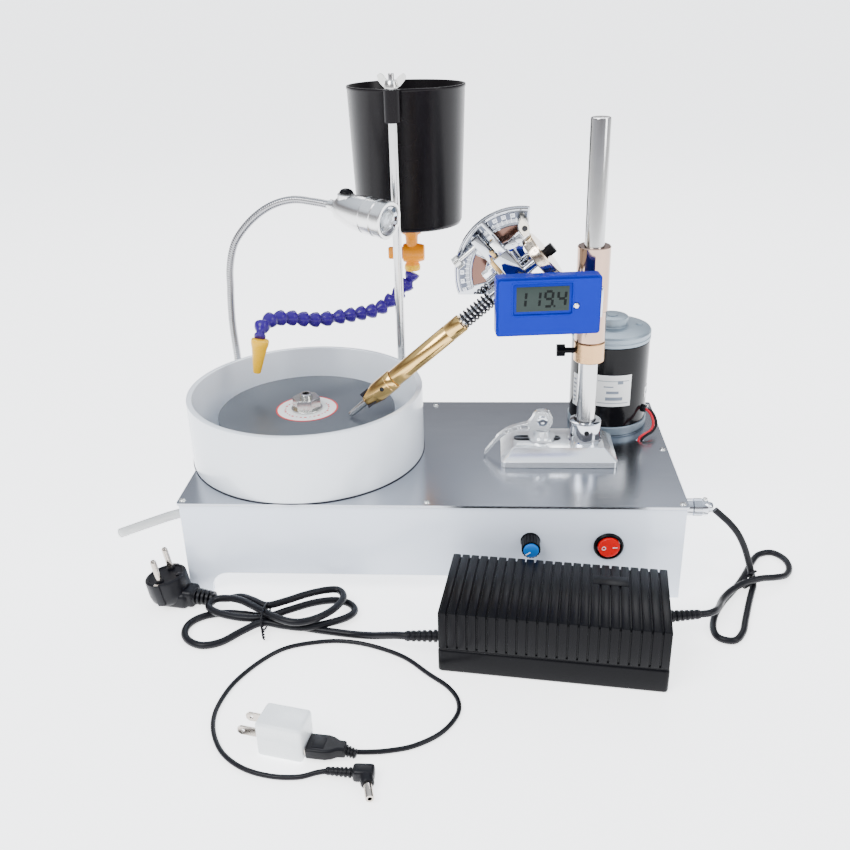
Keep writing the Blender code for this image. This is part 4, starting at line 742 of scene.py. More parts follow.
def build_dc_plug():
    """The threaded plug on the right side, with its boot."""
    inlet = at(198.5, -65.0, 64.6) @ X_AXIS
    lathe_piece("dc_socket", [(0, 11.5), (6.6, 11.5), (7.0, 11.0), (7.0, 3.4), (0, 3.4)],
                CHROME, "machine", inlet, 48, nodes=["power_socket"])
    bm = bmesh.new()
    add_outline(bm, [circle(0, 0, 9.0, 6)], 0.4, 3.4)
    finish_mesh("dc_socket_nut", bm, CHROME, "machine", inlet, bevel=0.4,
                nodes=["power_socket"])
    bm = bmesh.new()
    knurl = []
    for i in range(36):
        knurl += arc(0, 0, 7.2, i * 10, i * 10 + 5, 2) + arc(0, 0, 6.8, i * 10 + 6, i * 10 + 9, 2)
    add_outline(bm, [knurl], 12.0, 18.6)
    add_lathe(bm, [(0, 27.5), (3.4, 27.5), (3.9, 27.0), (4.6, 24.2), (6.4, 23.4), (6.8, 22.8),
                   (6.8, 18.4), (0, 18.4)], 40)
    plug = finish_mesh("dc_connector", bm, CHROME, "machine", inlet, nodes=["dc_plug"])
    lathe_piece("dc_clamp_screw", [(0, 8.2), (1.8, 8.0), (2.0, 7.6), (2.0, 6.0), (0, 6.0)],
                ZINC, "machine", inlet @ at(0, 0, 21) @ turn(-90, "Y"), 20)
    return plug


def build_charger():
    """The small USB charger on its back, its blades out to the left and the lead plugged in."""
    place = at(*CHARGER_CENTRE) @ turn(CHARGER_TURN, "Z")
    bm = bmesh.new()
    add_box(bm, (-15.8, -11, 0), (15.8, 11, 27), None, 2.6, 4)
    charger = finish_mesh("charger_case", bm, WHITE_PLASTIC, "machine", place,
                          nodes=["usb_charger"])
    bm = bmesh.new()
    add_box(bm, (15.6, -7.2, 2.6), (16.1, 7.2, 11.4), None, 0.2)
    add_box(bm, (-16.0, -8.6, 8.6), (-15.5, 8.6, 21.4), None, 0.2)
    finish_mesh("charger_faces", bm, SOCKET_GREY, "machine", place, nodes=["usb_charger"])
    bm = bmesh.new()
    for y in (-6.4, 6.4):
        blade = [(-28, -3.2), (-14, -3.2), (-14, 3.2), (-28, 3.2), (-30, 1.6), (-30, -1.6)]
        add_outline(bm, [blade, circle(-26.2, 0, 1.4, 16)], y - 0.75, y + 0.75,
                    at(0, 0, 15.2) @ turn(90, "X") @ turn(180, "X"))
    finish_mesh("charger_blades", bm, NICKEL, "machine", place, nodes=["usb_charger"])
    shell = at(*USB_PLUG_PLACE) @ turn(USB_PLUG_TURN, "Z")
    bm = bmesh.new()
    add_box(bm, (-3.0, -6.1, 4.6), (3.0, 6.1, 9.4), None, 0.3)
    finish_mesh("usb_shell", bm, NICKEL, "machine", shell, nodes=["usb_charger"])
    bm = bmesh.new()
    outline = [(1.4, -8.0), (14.5, -8.0), (18.5, -6.8), (22.0, -4.6), (27.0, -4.2), (27.0, 4.2),
               (22.0, 4.6), (18.5, 6.8), (14.5, 8.0), (1.4, 8.0)]
    add_outline(bm, [outline], 3.0, 11.0)
    finish_mesh("usb_grip", bm, RUBBER, "machine", shell, bevel=1.4, nodes=["usb_charger"])
    bm = bmesh.new()
    add_box(bm, (5.0, -5.2, 10.9), (13.5, 5.2, 11.3), None, 0.2)
    finish_mesh("usb_mark", bm, RUBBER, "machine", shell)
    bm = bmesh.new()
    ribbed_relief(bm, (26.0, 0, 6.4), (34.0, -1.2, 5.0), 4.0, 3.2, 4, 1.75)
    finish_mesh("usb_relief", bm, RUBBER, "machine", shell, nodes=["usb_charger"])
    return charger


def build_jack():
    """The right-angled jack at the end of the lamp lead."""
    bm = bmesh.new()
    add_box(bm, (-38.5, -301.3, 0.4), (-24.4, -291.9, 9.8), None, 2.4, 3)
    ribbed_relief(bm, (-36, -296.9, 5), (-55.6, -295.6, 4.9), 3.6, 2.6, 7, 1.75)
    add_lathe(bm, [(0, 9), (3.8, 9), (4.4, 8), (4.6, 0), (0, 0)], 32,
              along((-29.9, -297.4, 5), (-25.3, -317.5, 5)))
    jack = finish_mesh("jack_body", bm, RUBBER, "machine", nodes=["lamp_jack"])
    lathe_piece("jack_barrel", [(1.4, 20.4), (2.6, 20.4), (2.75, 20.0), (2.75, 8), (1.4, 8)],
                NICKEL, "machine", along((-29.9, -297.4, 5), (-25.3, -317.5, 5)), 32,
                nodes=["lamp_jack"])
    return jack


# ---------------------------------------------------------------- chassis, basin and lap
def build_chassis():
    """The panels, the top plate, its screws and what hangs under it."""
    for node in ("front_panel", "rear_panel", "left_panel", "right_panel"):
        paint(node, ACRYLIC)
    paint("top_plate", BRUSHED)
    paint("bearing_housing", CASTING)
    paint("drive_belt", RUBBER)
    paint("motor_rotor", STEEL)
    bm = bmesh.new()
    for x, y in ((-196, -95), (-1.5, -95), (195.5, -95), (-196, -1), (195.5, -1), (-196, 92),
                 (-3.5, 91), (196, 92)):
        add_lathe(bm, [(0, 1.7), (0.9, 1.6), (1.9, 1.1), (2.5, 0.2), (2.6, 0), (0, 0)], 24,
                  at(x, y, PLATE_TOP))
    finish_mesh("plate_screws", bm, ZINC, "machine")
    bm = bmesh.new()
    for x, y in ((-196, -95), (-1.5, -95), (195.5, -95), (195.5, -1), (196, 92)):
        for angle in (20, 110):
            add_box(bm, (-1.2, -0.2, 1.35), (1.2, 0.2, 1.72), at(x, y, PLATE_TOP)
                    @ turn(angle, "Z"))
    finish_mesh("screw_slots", bm, SEAM, "machine")


def build_basin():
    """The splash basin, the lap and the nut that holds it."""
    spot = at(*LAP_CENTRE)
    floor = SEAT
    lathe_piece("basin_wall", [(98.8, 142.0), (99.7, 141.7), (100, 141.0), (100, floor + 0.4),
                               (99.7, floor), (18.5, floor), (18.5, floor + 2.5),
                               (94, floor + 2.5), (95, floor + 3.5), (95, 141.0),
                               (95.3, 141.7), (96.2, 142.0)], WHITE_BASIN, "machine", spot, 128,
                nodes=["splash_basin"], slot="white_basin")
    lathe_piece("basin_seam", [(100.5, floor + 0.5), (100.6, PLATE_TOP + 0.02),
                               (99.8, PLATE_TOP + 0.02), (99.9, floor + 0.5)], SEAM, "machine",
                spot, 96)
    lathe_piece("lap_plate", [(75.0, LAP_TOP), (75.7, LAP_TOP - 0.7), (75.7, 116.2),
                              (75.0, 115.5), (5.4, 115.5), (5.4, LAP_TOP)], LAP_GREY, "lap",
                spot, 128, nodes=["lap_disc"], slot="lap_grey")
    lathe_piece("lap_label", [(26.5, LAP_TOP + 0.15), (26.5, LAP_TOP - 0.05),
                              (13.0, LAP_TOP - 0.05), (13.0, LAP_TOP + 0.15)], PAPER, "lap",
                spot, 96)
    lathe_piece("lap_label_ring", [(26.6, LAP_TOP + 0.2), (26.6, LAP_TOP - 0.02),
                                   (25.2, LAP_TOP - 0.02), (25.2, LAP_TOP + 0.2)], LABEL_RED,
                "lap", spot, 96)
    bm = bmesh.new()
    for i in range(30):
        angle = i * 12
        size = 0.9 + 0.3 * ((i * 7) % 3)
        if 40 < angle < 140:
            continue
        add_box(bm, (18.0, -size, LAP_TOP + 0.13), (18.0 + 1.1 * size, size * 0.6, LAP_TOP + 0.2),
                spot @ turn(angle, "Z"))
    finish_mesh("lap_label_marks", bm, LABEL_RED, "lap")
    paint("lap_arbor", STEEL)
    bm = bmesh.new()
    top = 132.5
    add_outline(bm, [circle(0, 0, 12.1, 6), circle(0, 0, 5.5, 32)], 123.4, top)
    add_lathe(bm, [(13.2, 123.5), (13.5, 123.2), (13.5, 122.05), (5.5, 122.05), (5.5, 123.5)], 64)
    finish_mesh("arbor_nut", bm, ZINC, "lap", spot, bevel=0.7, nodes=["lap_nut"])
    lathe_piece("arbor_end", [(3.1, 136.1), (4.7, 136.1), (5.2, 135.6), (5.2, 131.5),
                              (3.1, 131.5)], ZINC, "lap", spot, 40)


# ---------------------------------------------------------------- motor
def can_patch(bm, radius, start, end, low, high, depth=0.25):
    """A thin patch wrapped on the motor's can, between two angles and two heights."""
    outer = arc(0, 0, radius + depth, start, end, 14)
    inner = arc(0, 0, radius - 0.1, end, start, 14)
    add_outline(bm, [outer + inner], low, high)


def build_motor():
    """The motor with its cap, labels and leads."""
    spot = at(*MOTOR_CENTRE)
    floor = SEAT
    lathe_piece("can_shell", [(33.6, 165), (34, 164.6), (34, 92.4), (33.6, 92), (31.5, 92),
                              (31.5, 165)], MOTOR_BLACK, "machine", spot, 96,
                nodes=["motor_can"], slot="motor_black")
    lathe_piece("motor_base_ring", [(34.4, 92), (35, 91.4), (35, 86.2), (34.2, 85.6),
                                    (34.2, floor), (6, floor), (6, 91.9)], CASTING, "machine",
                spot, 96, nodes=["motor_can"], slot="grey_casting")
    lathe_piece("motor_cap", [(0, 184.5), (12.8, 184.5), (13.7, 184.0), (14, 183.0),
                              (14, 177.4), (14.8, 176.6), (30.6, 175.2), (33.2, 174.4),
                              (34.4, 172.8), (34.4, 169.9), (33.9, 169.5), (33.9, 168.7),
                              (34.4, 168.3), (34.4, 165.7), (34.0, 165.3), (0, 165.3)], CASTING,
                "machine", spot, 96, nodes=["motor_top_cap"], slot="grey_casting")
    bm = bmesh.new()
    for angle in (-120, 0, 60, 180):
        add_lathe(bm, [(0, 1.6), (2.2, 1.4), (3.0, 0.6), (3.1, 0), (0, 0)], 24,
                  spot @ turn(angle, "Z") @ at(24, 0, 175.7))
    add_lathe(bm, [(0, 1.0), (4.2, 1.0), (4.6, 0.6), (4.6, 0), (0, 0)], 32,
              spot @ at(0, 0, 184.4))
    finish_mesh("motor_screws", bm, CASTING, "machine")
    bm = bmesh.new()
    can_patch(bm, 34, -117, -63, 112, 141)
    can_patch(bm, 34, -160, -148, 106, 136)
    can_patch(bm, 34, -28, -10, 113, 123)
    finish_mesh("motor_labels", bm, PAPER, "machine", spot)
    bm = bmesh.new()
    for low, start, end, tall in ((136.5, -113, -67, 0.5), (116, -113, -67, 0.5),
                                  (134.0, -84, -76, 3.2), (131.0, -104, -90, 1.0),
                                  (125.0, -100, -82, 2.4), (118.8, -101, -76, 3.0)):
        can_patch(bm, 34.15, start, end, low - 1.0, low - 1.0 + tall)
    for low in range(110, 134, 4):
        can_patch(bm, 34.15, -157.5, -151 - (low % 3), low, low + 1.6)
    can_patch(bm, 34.15, -25, -14, 116.6, 118.2)
    finish_mesh("motor_label_print", bm, LABEL_GREY, "machine", spot)
    middle = [(186.9, 42, 103), (190.2, 39.6, 101.5), (192.8, 35.5, 97.5), (193.4, 31, 92.5),
              (189.8, 24.5, 89.6), (184.4, 20, 88.4), (179.6, 17.6, 85.0), (179, 17.4, 76)]
    for name, shift, mat in (("motor_lead_black", 1.25, RUBBER),
                             ("motor_lead_red", -1.25, LEAD_RED)):
        route = [(x + shift, y - shift * 0.3, z) for x, y, z in middle]
        lead, points = cord_piece(name, route, MOTOR_LEAD_RADIUS, mat, 1.2,
                                  ["motor_leads"], 12)
    lathe_piece("motor_lead_gland", [(0, 4.2), (2.6, 4.2), (3.4, 3.4), (3.6, 0), (0, 0)], RUBBER,
                "machine", along((183.6, 44.6, 103), (190, 40.5, 103)), 24)


# ---------------------------------------------------------------- front controls
def build_controls():
    """The speed knob and the rocker switch."""
    knob = at(79.4, -98.5, 52.2) @ FRONT_AXIS
    bm = bmesh.new()
    ribs = []
    for i in range(18):
        ribs += arc(0, 0, 7.3, i * 20, i * 20 + 12, 3) + arc(0, 0, 6.8, i * 20 + 14,
                                                             i * 20 + 18, 2)
    add_outline(bm, [ribs], 1.6, 13.8)
    add_lathe(bm, [(0, 1.7), (7.6, 1.7), (7.8, 1.2), (7.8, 0.5), (0, 0.5)], 48)
    finish_mesh("knob_barrel", bm, BLACK, "knob", knob, nodes=["speed_knob"])
    lathe_piece("knob_cap", [(0, 16.3), (4.4, 16.2), (5.5, 15.6), (5.9, 14.6), (5.9, 13.5),
                             (0, 13.5)], CAP_BLUE, "knob", knob, 48, nodes=["speed_knob"])
    box_piece("knob_pointer", (-0.45, 0.8, 15.9), (0.45, 5.2, 16.6), LIGHT_INK, "knob",
              knob @ turn(125, "Z"), 0.1)
    switch = at(140.4, -98.5, 48.2) @ FRONT_AXIS
    lathe_piece("switch_rim", [(9.2, 1.6), (9.6, 2.5), (10.4, 2.6), (11.4, 1.9), (11.8, 1.0),
                               (11.8, 0.4), (9.8, 0.4), (9.8, -13), (9.2, -13)], BLACK,
                "machine", switch, 72, nodes=["switch_bezel"], slot="black_plastic")
    rocked = switch @ turn(7, "Y")
    lathe_piece("rocker_face", [(0, 3.2), (4.2, 3.3), (7.2, 3.5), (8.2, 3.3), (8.6, 2.6),
                                (8.6, -3.4), (0, -3.4)], RED, "rocker", rocked, 72,
                nodes=["switch_rocker"], slot="red_plastic")
    bm = bmesh.new()
    add_outline(bm, [circle(-4.4, 0, 1.7, 24), circle(-4.4, 0, 1.15, 24)], 3.2, 3.62)
    add_box(bm, (2.6, -0.3, 3.2), (6.2, 0.3, 3.72), None, 0.0)
    finish_mesh("rocker_marks", bm, LIGHT_INK, "rocker", rocked)


# ---------------------------------------------------------------- mast, base and clamp
def build_mast():
    """The mast, its sloping base, and the clamp with its cam lever."""
    paint("clamp_stud", CHROME_PAINTED_WHITE)
    floor, side, top = SEAT, 90.0, 98.0
    bm = bmesh.new()
    outlines = []
    for inset, height, radius in ((0.0, floor, 3.5), (0.0, side - 0.8, 3.5), (0.7, side, 3.2),
                                  (10.2, top - 0.2, 1.2), (10.9, top, 1.0)):
        loop = rounded_loop(48 - inset, 29 - inset, radius)
        outlines.append([bm.verts.new((x + 105, y - 7.5, height)) for x, y in loop])
    for lower_loop, upper_loop in zip(outlines, outlines[1:]):
        for i in range(len(lower_loop)):
            j = (i + 1) % len(lower_loop)
            bm.faces.new((lower_loop[i], lower_loop[j], upper_loop[j], upper_loop[i]))
    slot = [bm.verts.new((x, y - 7.5, top)) for x, y in
            arc(102.5, 0, 5.5, -90, 90, 12) + arc(72.9, 0, 5.5, 90, 270, 12)]
    edges = [bm.edges.new((a, b)) for a, b in zip(slot, slot[1:] + slot[:1])]
    edges += [bm.edges.get((a, b)) for a, b in zip(outlines[-1], outlines[-1][1:]
                                                   + outlines[-1][:1])]
    bmesh.ops.triangle_fill(bm, use_beauty=True, edges=edges)
    # The base's white look is painted white reflection, from its light diffuse chrome
    finish_mesh("base_casting", bm, CHROME_PAINTED_WHITE, "mast", nodes=["mast_base"], angle=25)
    lathe_piece("mast_socket", [(12.4, 115.6), (13.0, 115.2), (13.2, 114.6), (13.2, 99.0),
                                (14.4, 97.8), (8.0, 97.8), (8.0, 114.4), (8.6, 115.6)], CHROME,
                "mast", at(*MAST_CENTRE), 72, nodes=["mast_base"])
    spot = at(*MAST_CENTRE)
    lathe_piece("mast_shaft", [(0, 359.5), (6.6, 359.5), (7.4, 359.1), (7.7, 358.4),
                               (7.7, 98.6), (0, 98.6)], STEEL, "mast", spot, 64,
                nodes=["mast_rod"], slot="chrome")
    lathe_piece("socket_screw", [(0, 0.6), (1.7, 0.6), (2.2, 0.2), (2.2, -1.5), (0, -1.5)],
                BLACK_STEEL, "mast",
                at(MAST_CENTRE[0], MAST_CENTRE[1] - 13.2, 108.5) @ FRONT_AXIS, 24)
    pin = at(CLAMP_X, 0, CAM_HEIGHT) @ FRONT_AXIS
    upper = [(8.4, 3.0), (6.0, 6.6), (0.5, 8.7), (-5.5, 7.0), (-9.3, 1.4), (-13.0, -2.0),
             (-22.5, -4.8), (-29.4, -7.7), (-36.8, -13.6), (-41.5, -20.3), (-48.5, -29.0)]
    lower = [(-48.8, -30.6), (-47.0, -30.6), (-41.4, -23.6), (-36.8, -18.0), (-29.4, -12.2),
             (-22.5, -9.9), (-13.9, -9.7), (-5.0, -8.3), (0.0, -8.8), (5.4, -6.6), (8.4, -3.0)]
    upper = [(p.x, p.y) for p in smooth_route([(x, y, 0) for x, y in upper], 1.6)]
    lower = [(p.x, p.y) for p in smooth_route([(x, y, 0) for x, y in lower], 1.6)]
    holes = []
    for x, y, slope, half, tall in ((-14.6, -6.4, 2, 3.8, 1.8), (-22.8, -7.4, 8, 2.9, 1.3),
                                    (-30.0, -10.3, 24, 2.3, 1.0)):
        c, s = cos(radians(slope)), sin(radians(slope))
        oval = [(half * u, tall * v) for u, v in circle(0, 0, 1, 24)]
        holes.append([(x + u * c - v * s, y + u * s + v * c) for u, v in oval])
    bm = bmesh.new()
    add_outline(bm, [upper + lower] + holes, 10.2, 15.3)
    finish_mesh("lever_handle", bm, CHROME_PAINTED_WHITE, "lever", pin, bevel=0.7, nodes=["clamp_lever"],
                slot="chrome")
    bm = bmesh.new()
    add_lathe(bm, [(0, 15.9), (1.2, 16.0), (1.4, 16.9), (2.6, 17.1), (4.1, 16.7), (4.6, 15.9),
                   (4.6, 15.2), (0, 15.2)], 40)
    add_lathe(bm, [(0, 8.9), (8.3, 8.9), (8.7, 8.4), (8.7, 7.9), (8.3, 7.9), (0, 7.9)][::-1], 48)
    add_lathe(bm, [(0, 10.3), (3.2, 10.3), (3.2, 8.8), (0, 8.8)], 32)
    add_lathe(bm, [(0, 8.0), (2.3, 8.0), (2.3, 0.2), (0, 0.2)], 24)
    finish_mesh("lever_pin", bm, CHROME, "lever", pin, nodes=["clamp_lever"])


# ---------------------------------------------------------------- carriage, collar and fan
def build_carriage():
    """The stop collar and the carriage that rides above it."""
    spot = at(*MAST_CENTRE)
    bore = 8.05
    lathe_piece("stop_ring", [(11.6, 186), (12.4, 185.2), (12.4, 169.8), (11.6, 169),
                              (bore, 169), (bore, 186)], COLLAR_BRASS, "collar", spot, 72,
                nodes=["stop_collar"], slot="brass")
    screw = at(MAST_CENTRE[0], MAST_CENTRE[1], 177.5) @ X_AXIS
    bm = bmesh.new()
    grip = []
    for i in range(20):
        grip += arc(0, 0, 5.0, i * 18, i * 18 + 9, 2) + arc(0, 0, 4.6, i * 18 + 11,
                                                            i * 18 + 16, 2)
    add_outline(bm, [grip], -26.4, -19.6)
    add_lathe(bm, [(0, -8.4), (2.4, -8.4), (2.4, -19.7), (0, -19.7)], 24)
    finish_mesh("thumb_screw", bm, BLACK, "thumbscrew", screw, nodes=["collar_screw"])
    bm = bmesh.new()
    add_lathe(bm, [(bore, 264), (12.4, 264), (13, 263.4), (13, 212.6), (12.6, 212.1),
                   (12.3, 211.6), (12.3, 187.0), (11.8, 186.5), (bore, 186.5)], 72)
    finish_mesh("carriage_tube", bm, BRONZE, "carriage", spot, nodes=["carriage_sleeve"],
                slot="champagne_nickel")
    px, _, pz = PIVOT
    bm = bmesh.new()
    add_box(bm, (117, 1.5, 219), (134, 13.5, 240), None, 0.8)
    add_box(bm, (px - 9.5, 6.2, 220), (119, 13.5, 236), None, 0.8)
    add_box(bm, (px - 9.5, 6.2, 226), (px + 9.5, 13.5, pz + 9), None, 0.8)
    add_box(bm, (119, -38.3, 214), (135, -16.5, 238), DISPLAY, 1.0)
    finish_mesh("carriage_blocks", bm, CHROME, "carriage", nodes=["carriage_sleeve"])

def build_fan():
    """The protractor: a fan with two sunk pockets and a raised scale."""
    px, _, pz = PIVOT
    cz = pz - FAN_DROP
    plane = at(0, FAN_FRONT, 0) @ FRONT_AXIS
    rim = arc(px, cz, FAN_RADIUS, 82.5, 200, 72)
    foot = [(px - 20, pz - 20.2), (px - 11, pz - 11), (px + 5.5, pz - 9), (px + 5.5, pz + 10),
            (px + 2.2, pz + 16), (px + 2.2, pz + 27), (px + 6, pz + 33), (px + 6.6, pz + 47)]
    windows = []
    for start, end in ((93, 124), (157, 196)):
        windows.append(arc(px, cz, 37.8, start, end, 24) + arc(px, cz, 27.5, end, start, 20))
    bm = bmesh.new()
    add_outline(bm, [rim + foot] + windows, -5.0, -0.9, plane)
    finish_mesh("fan_plate", bm, CHROME, "carriage", bevel=0.3, nodes=["protractor"],
                slot="chrome")
    # The pocket floors are painted darker and browner than the fan: painted shade and reflection
    bm = bmesh.new()
    for window in windows:
        add_outline(bm, [window], -1.9, -1.5, plane)
    finish_mesh("fan_pockets", bm, POCKET_PAINTED_SHADE, "carriage", nodes=["protractor"])
    bm = bmesh.new()
    groove = arc(px, cz, 47.9, 84, 199, 60) + arc(px, cz, 39.6, 199, 84, 60)
    add_outline(bm, [groove], -1.0, -0.75, plane)
    finish_mesh("fan_scale_floor", bm, DARK_CHROME, "carriage")
    bm = bmesh.new()
    for radius, thick in ((51.0, 0.9), (48.6, 0.55), (38.9, 0.5)):
        points = [(px + radius * cos(radians(a)), FAN_FRONT + 0.5, cz + radius * sin(radians(a)))
                  for a in range(84, 200, 2)]
        add_tube(bm, points, thick, 10)
    for start, end in ((93, 124), (157, 196)):
        loop = arc(px, cz, 38.3, start, end, 16) + arc(px, cz, 27.0, end, start, 14)
        points = [(x, FAN_FRONT + 0.8, z) for x, z in loop]
        add_tube(bm, points + points[:1], 0.55, 8)
    finish_mesh("fan_rims", bm, CHROME, "carriage", nodes=["protractor"])
    hub = at(px, FAN_FRONT + 0.75, cz) @ FRONT_AXIS
    bm = bmesh.new()
    for step in range(85, 199):
        half = 0.17 if step % 5 else 0.30
        outer = 43.0 if step % 5 else 43.8
        add_box(bm, (40.2, -half, -0.1), (outer, half, 0.3), hub @ turn(step, "Z"))
    for start in range(87, 196, 9):
        loop = arc(0, 0, 47.3, start, start + 4.4, 6) + arc(0, 0, 44.3, start + 4.4, start, 6)
        add_outline(bm, [loop], -0.1, 0.35, hub)
    finish_mesh("fan_scale", bm, CHROME, "carriage")
    for index, angle in enumerate(range(87, 196, 9)):
        local = hub @ turn(angle + 2.2, "Z") @ at(45.8, 0, 0.36) @ turn(-90, "Z")
        text_piece("fan_number_%02d" % index, str(90 - 9 * index), 2.4, LABEL_INK, "carriage",
                   local)
    lathe_piece("fan_boss", [(9.0, 6.4), (9.5, 5.9), (9.5, -5.8), (4.4, -5.8), (4.4, 6.4)],
                CHROME, "carriage", at(px, 0, pz) @ FRONT_AXIS, 48, nodes=["protractor"])


# ---------------------------------------------------------------- display
SEGMENTS = {"0": "abcdef", "1": "bc", "2": "abged", "3": "abgcd", "4": "fgbc", "5": "afgcd",
            "6": "afgedc", "7": "abc", "8": "abcdefg", "9": "abfgcd"}


def add_digit(bm, digit, x, z, wide, tall, thick, local):
    """Seven slightly leaning bars, the lit ones of one digit."""
    half = tall / 2
    bars = {"a": ((0, tall), (wide, tall)), "g": ((0, half), (wide, half)),
            "d": ((0, 0), (wide, 0)), "f": ((0, half), (0, tall)), "b": ((wide, half),
                                                                        (wide, tall)),
            "e": ((0, 0), (0, half)), "c": ((wide, 0), (wide, half))}
    for key in SEGMENTS[digit]:
        (x0, z0), (x1, z1) = bars[key]
        grow = thick / 2
        flat = z0 == z1
        low = (x0 + (grow * 0.7 if flat else -grow), z0 - (grow if flat else -grow * 0.7), 0)
        high = (x1 - (grow * 0.7 if flat else -grow), z1 + (grow if flat else -grow * 0.7), 0.1)
        shear = Matrix.Identity(4)
        shear[0][1] = 0.07
        add_box(bm, low, high, local @ at(x, z, 0) @ shear)


def build_display():
    """The display case with its window, digits and button."""
    front = -53.0
    face = DISPLAY @ at(0, front, 0) @ FRONT_AXIS
    left, right, bottom, top = 50.9, 130.5, 206.0, 251.7
    middle_x, middle_z = (left + right) / 2, (top + bottom) / 2
    outer = [(x + middle_x, y + middle_z)
             for x, y in rounded_loop((right - left) / 2, (top - bottom) / 2, 2.4)]
    window = [(x + 85.85, y + 235.15) for x, y in rounded_loop(22.2, 12.0, 1.2)]
    button = circle(111.2, 229.2, 2.7, 32)
    bm = bmesh.new()
    add_outline(bm, [outer], -13.8, -2.4, face)
    shelf = [(x + middle_x, y + middle_z)
             for x, y in rounded_loop((right - left) / 2 - 1.6, (top - bottom) / 2 - 1.6, 1.6)]
    add_outline(bm, [shelf, window, button], -2.6, 0.0, face)
    finish_mesh("display_shell", bm, BLUE, "carriage", bevel=0.8, nodes=["display_case"],
                slot="cobalt_blue")
    bm = bmesh.new()
    rim = [(x + 85.85, y + 235.15) for x, y in rounded_loop(23.6, 13.4, 2.0)]
    inner = [(x + 85.85, y + 235.15) for x, y in rounded_loop(22.4, 12.2, 1.4)]
    add_outline(bm, [rim, inner], -0.4, 0.35, face)
    finish_mesh("display_window_rim", bm, BLUE, "carriage", bevel=0.25)
    bm = bmesh.new()
    add_box(bm, (63.7, 223.4, -1.7), (108.0, 246.9, -0.9), face, 0.2)
    finish_mesh("display_glass_frame", bm, BLUE, "carriage")
    bm = bmesh.new()
    add_box(bm, (65.9, 225.6, -1.2), (105.9, 244.9, -0.6), face, 0.1)
    finish_mesh("display_glass", bm, LCD_GREEN, "carriage")
    bm = bmesh.new()
    local = face @ at(0, 0, -0.58)
    for digit, x in (("1", 67.0), ("1", 77.6), ("9", 87.2), ("4", 97.0)):
        add_digit(bm, digit, x, 229.4, 5.6, 11.6, 1.9, local)
    add_box(bm, (94.0, 228.6, 0), (95.5, 230.1, 0.1), local)
    finish_mesh("display_digits", bm, LCD_INK, "carriage")
    lathe_piece("display_key", [(0, 1.5), (1.5, 1.35), (2.2, 0.6), (2.3, -2.9), (0, -2.9)],
                SATIN, "button", DISPLAY @ at(111.2, front, 229.2) @ FRONT_AXIS, 32,
                nodes=["display_button"], slot="steel")
    bm = bmesh.new()
    add_box(bm, (90, 250.8, -10.5), (112, 252.1, -3.5), face, 0.5)
    finish_mesh("display_port_cover", bm, BLUE, "carriage")


# ---------------------------------------------------------------- yoke and quill
def quill_box(bm, t, y, s, bevel=0.6):
    """A block in the yoke's own directions: t up from the quill, y deep, s along it."""
    add_box(bm, (-t[1], y[0], s[0]), (-t[0], y[1], s[1]), QUILL, bevel)


def build_yoke():
    """The tilting yoke at the head."""
    bm = bmesh.new()
    quill_box(bm, (-9.5, 24.0), (-9, 9), (-8.0, 5.2), 1.1)
    quill_box(bm, (-9.5, 10.5), (-6.5, 9), (-11.4, -7.0), 0.6)
    quill_box(bm, (22.0, 45.0), (-4, 6), (-12.4, -5.4), 0.9)
    quill_box(bm, (8.0, 24.0), (-4, 6), (-12.4, -5.4), 0.5)
    quill_box(bm, (21.0, 49.0), (7.9, 9.6), (0.4, 3.6), 0.3)
    quill_box(bm, (19.7, 26.2), (-6, -1), (3.0, 14.5), 0.5)
    quill_box(bm, (20.2, 24.4), (-5.6, -1), (13.0, 19.0), 0.4)
    add_lathe(bm, [(5.0, -10), (7.2, -10), (7.2, -28.2), (6.6, -29), (4.4, -29), (4.4, -10)],
              48, QUILL)
    finish_mesh("yoke_blocks", bm, CHROME, "tilt", nodes=["yoke"], slot="chrome")
    bm = bmesh.new()
    quill_box(bm, (23.4, 35.5), (-9, -3), (-2.0, 4.0), 0.7)
    finish_mesh("yoke_rest", bm, CHROME_PAINTED_WHITE, "tilt", nodes=["yoke"])
    bm = bmesh.new()
    add_lathe(bm, [(0, 20), (3.5, 20), (4, 19.5), (4, 8.0), (0, 8.0)], 32, QUILL @ FRONT_AXIS)
    add_lathe(bm, [(0, -8.0), (4, -8.0), (4, -30.5), (0, -30.5)], 32, QUILL @ FRONT_AXIS)
    finish_mesh("yoke_trunnions", bm, CHROME, "tilt", nodes=["yoke"])
    bm = bmesh.new()
    quill_box(bm, (12.0, 23.6), (-9.3, -3), (-11.0, -8.1), 0.4)
    quill_box(bm, (24.6, 30.0), (-7.2, -4.2), (-6.6, -3.6), 0.8)
    finish_mesh("yoke_spacer", bm, TAN, "tilt")
    bm = bmesh.new()
    add_lathe(bm, [(0, -11.1), (3.6, -11.1), (3.9, -11.6), (3.9, -21.0), (3.3, -21.8),
                   (0, -21.8)], 6, QUILL @ at(-18.3, -5.8, 0))
    finish_mesh("yoke_lock_nut", bm, CHROME_PAINTED_WHITE, "tilt", bevel=0.4)


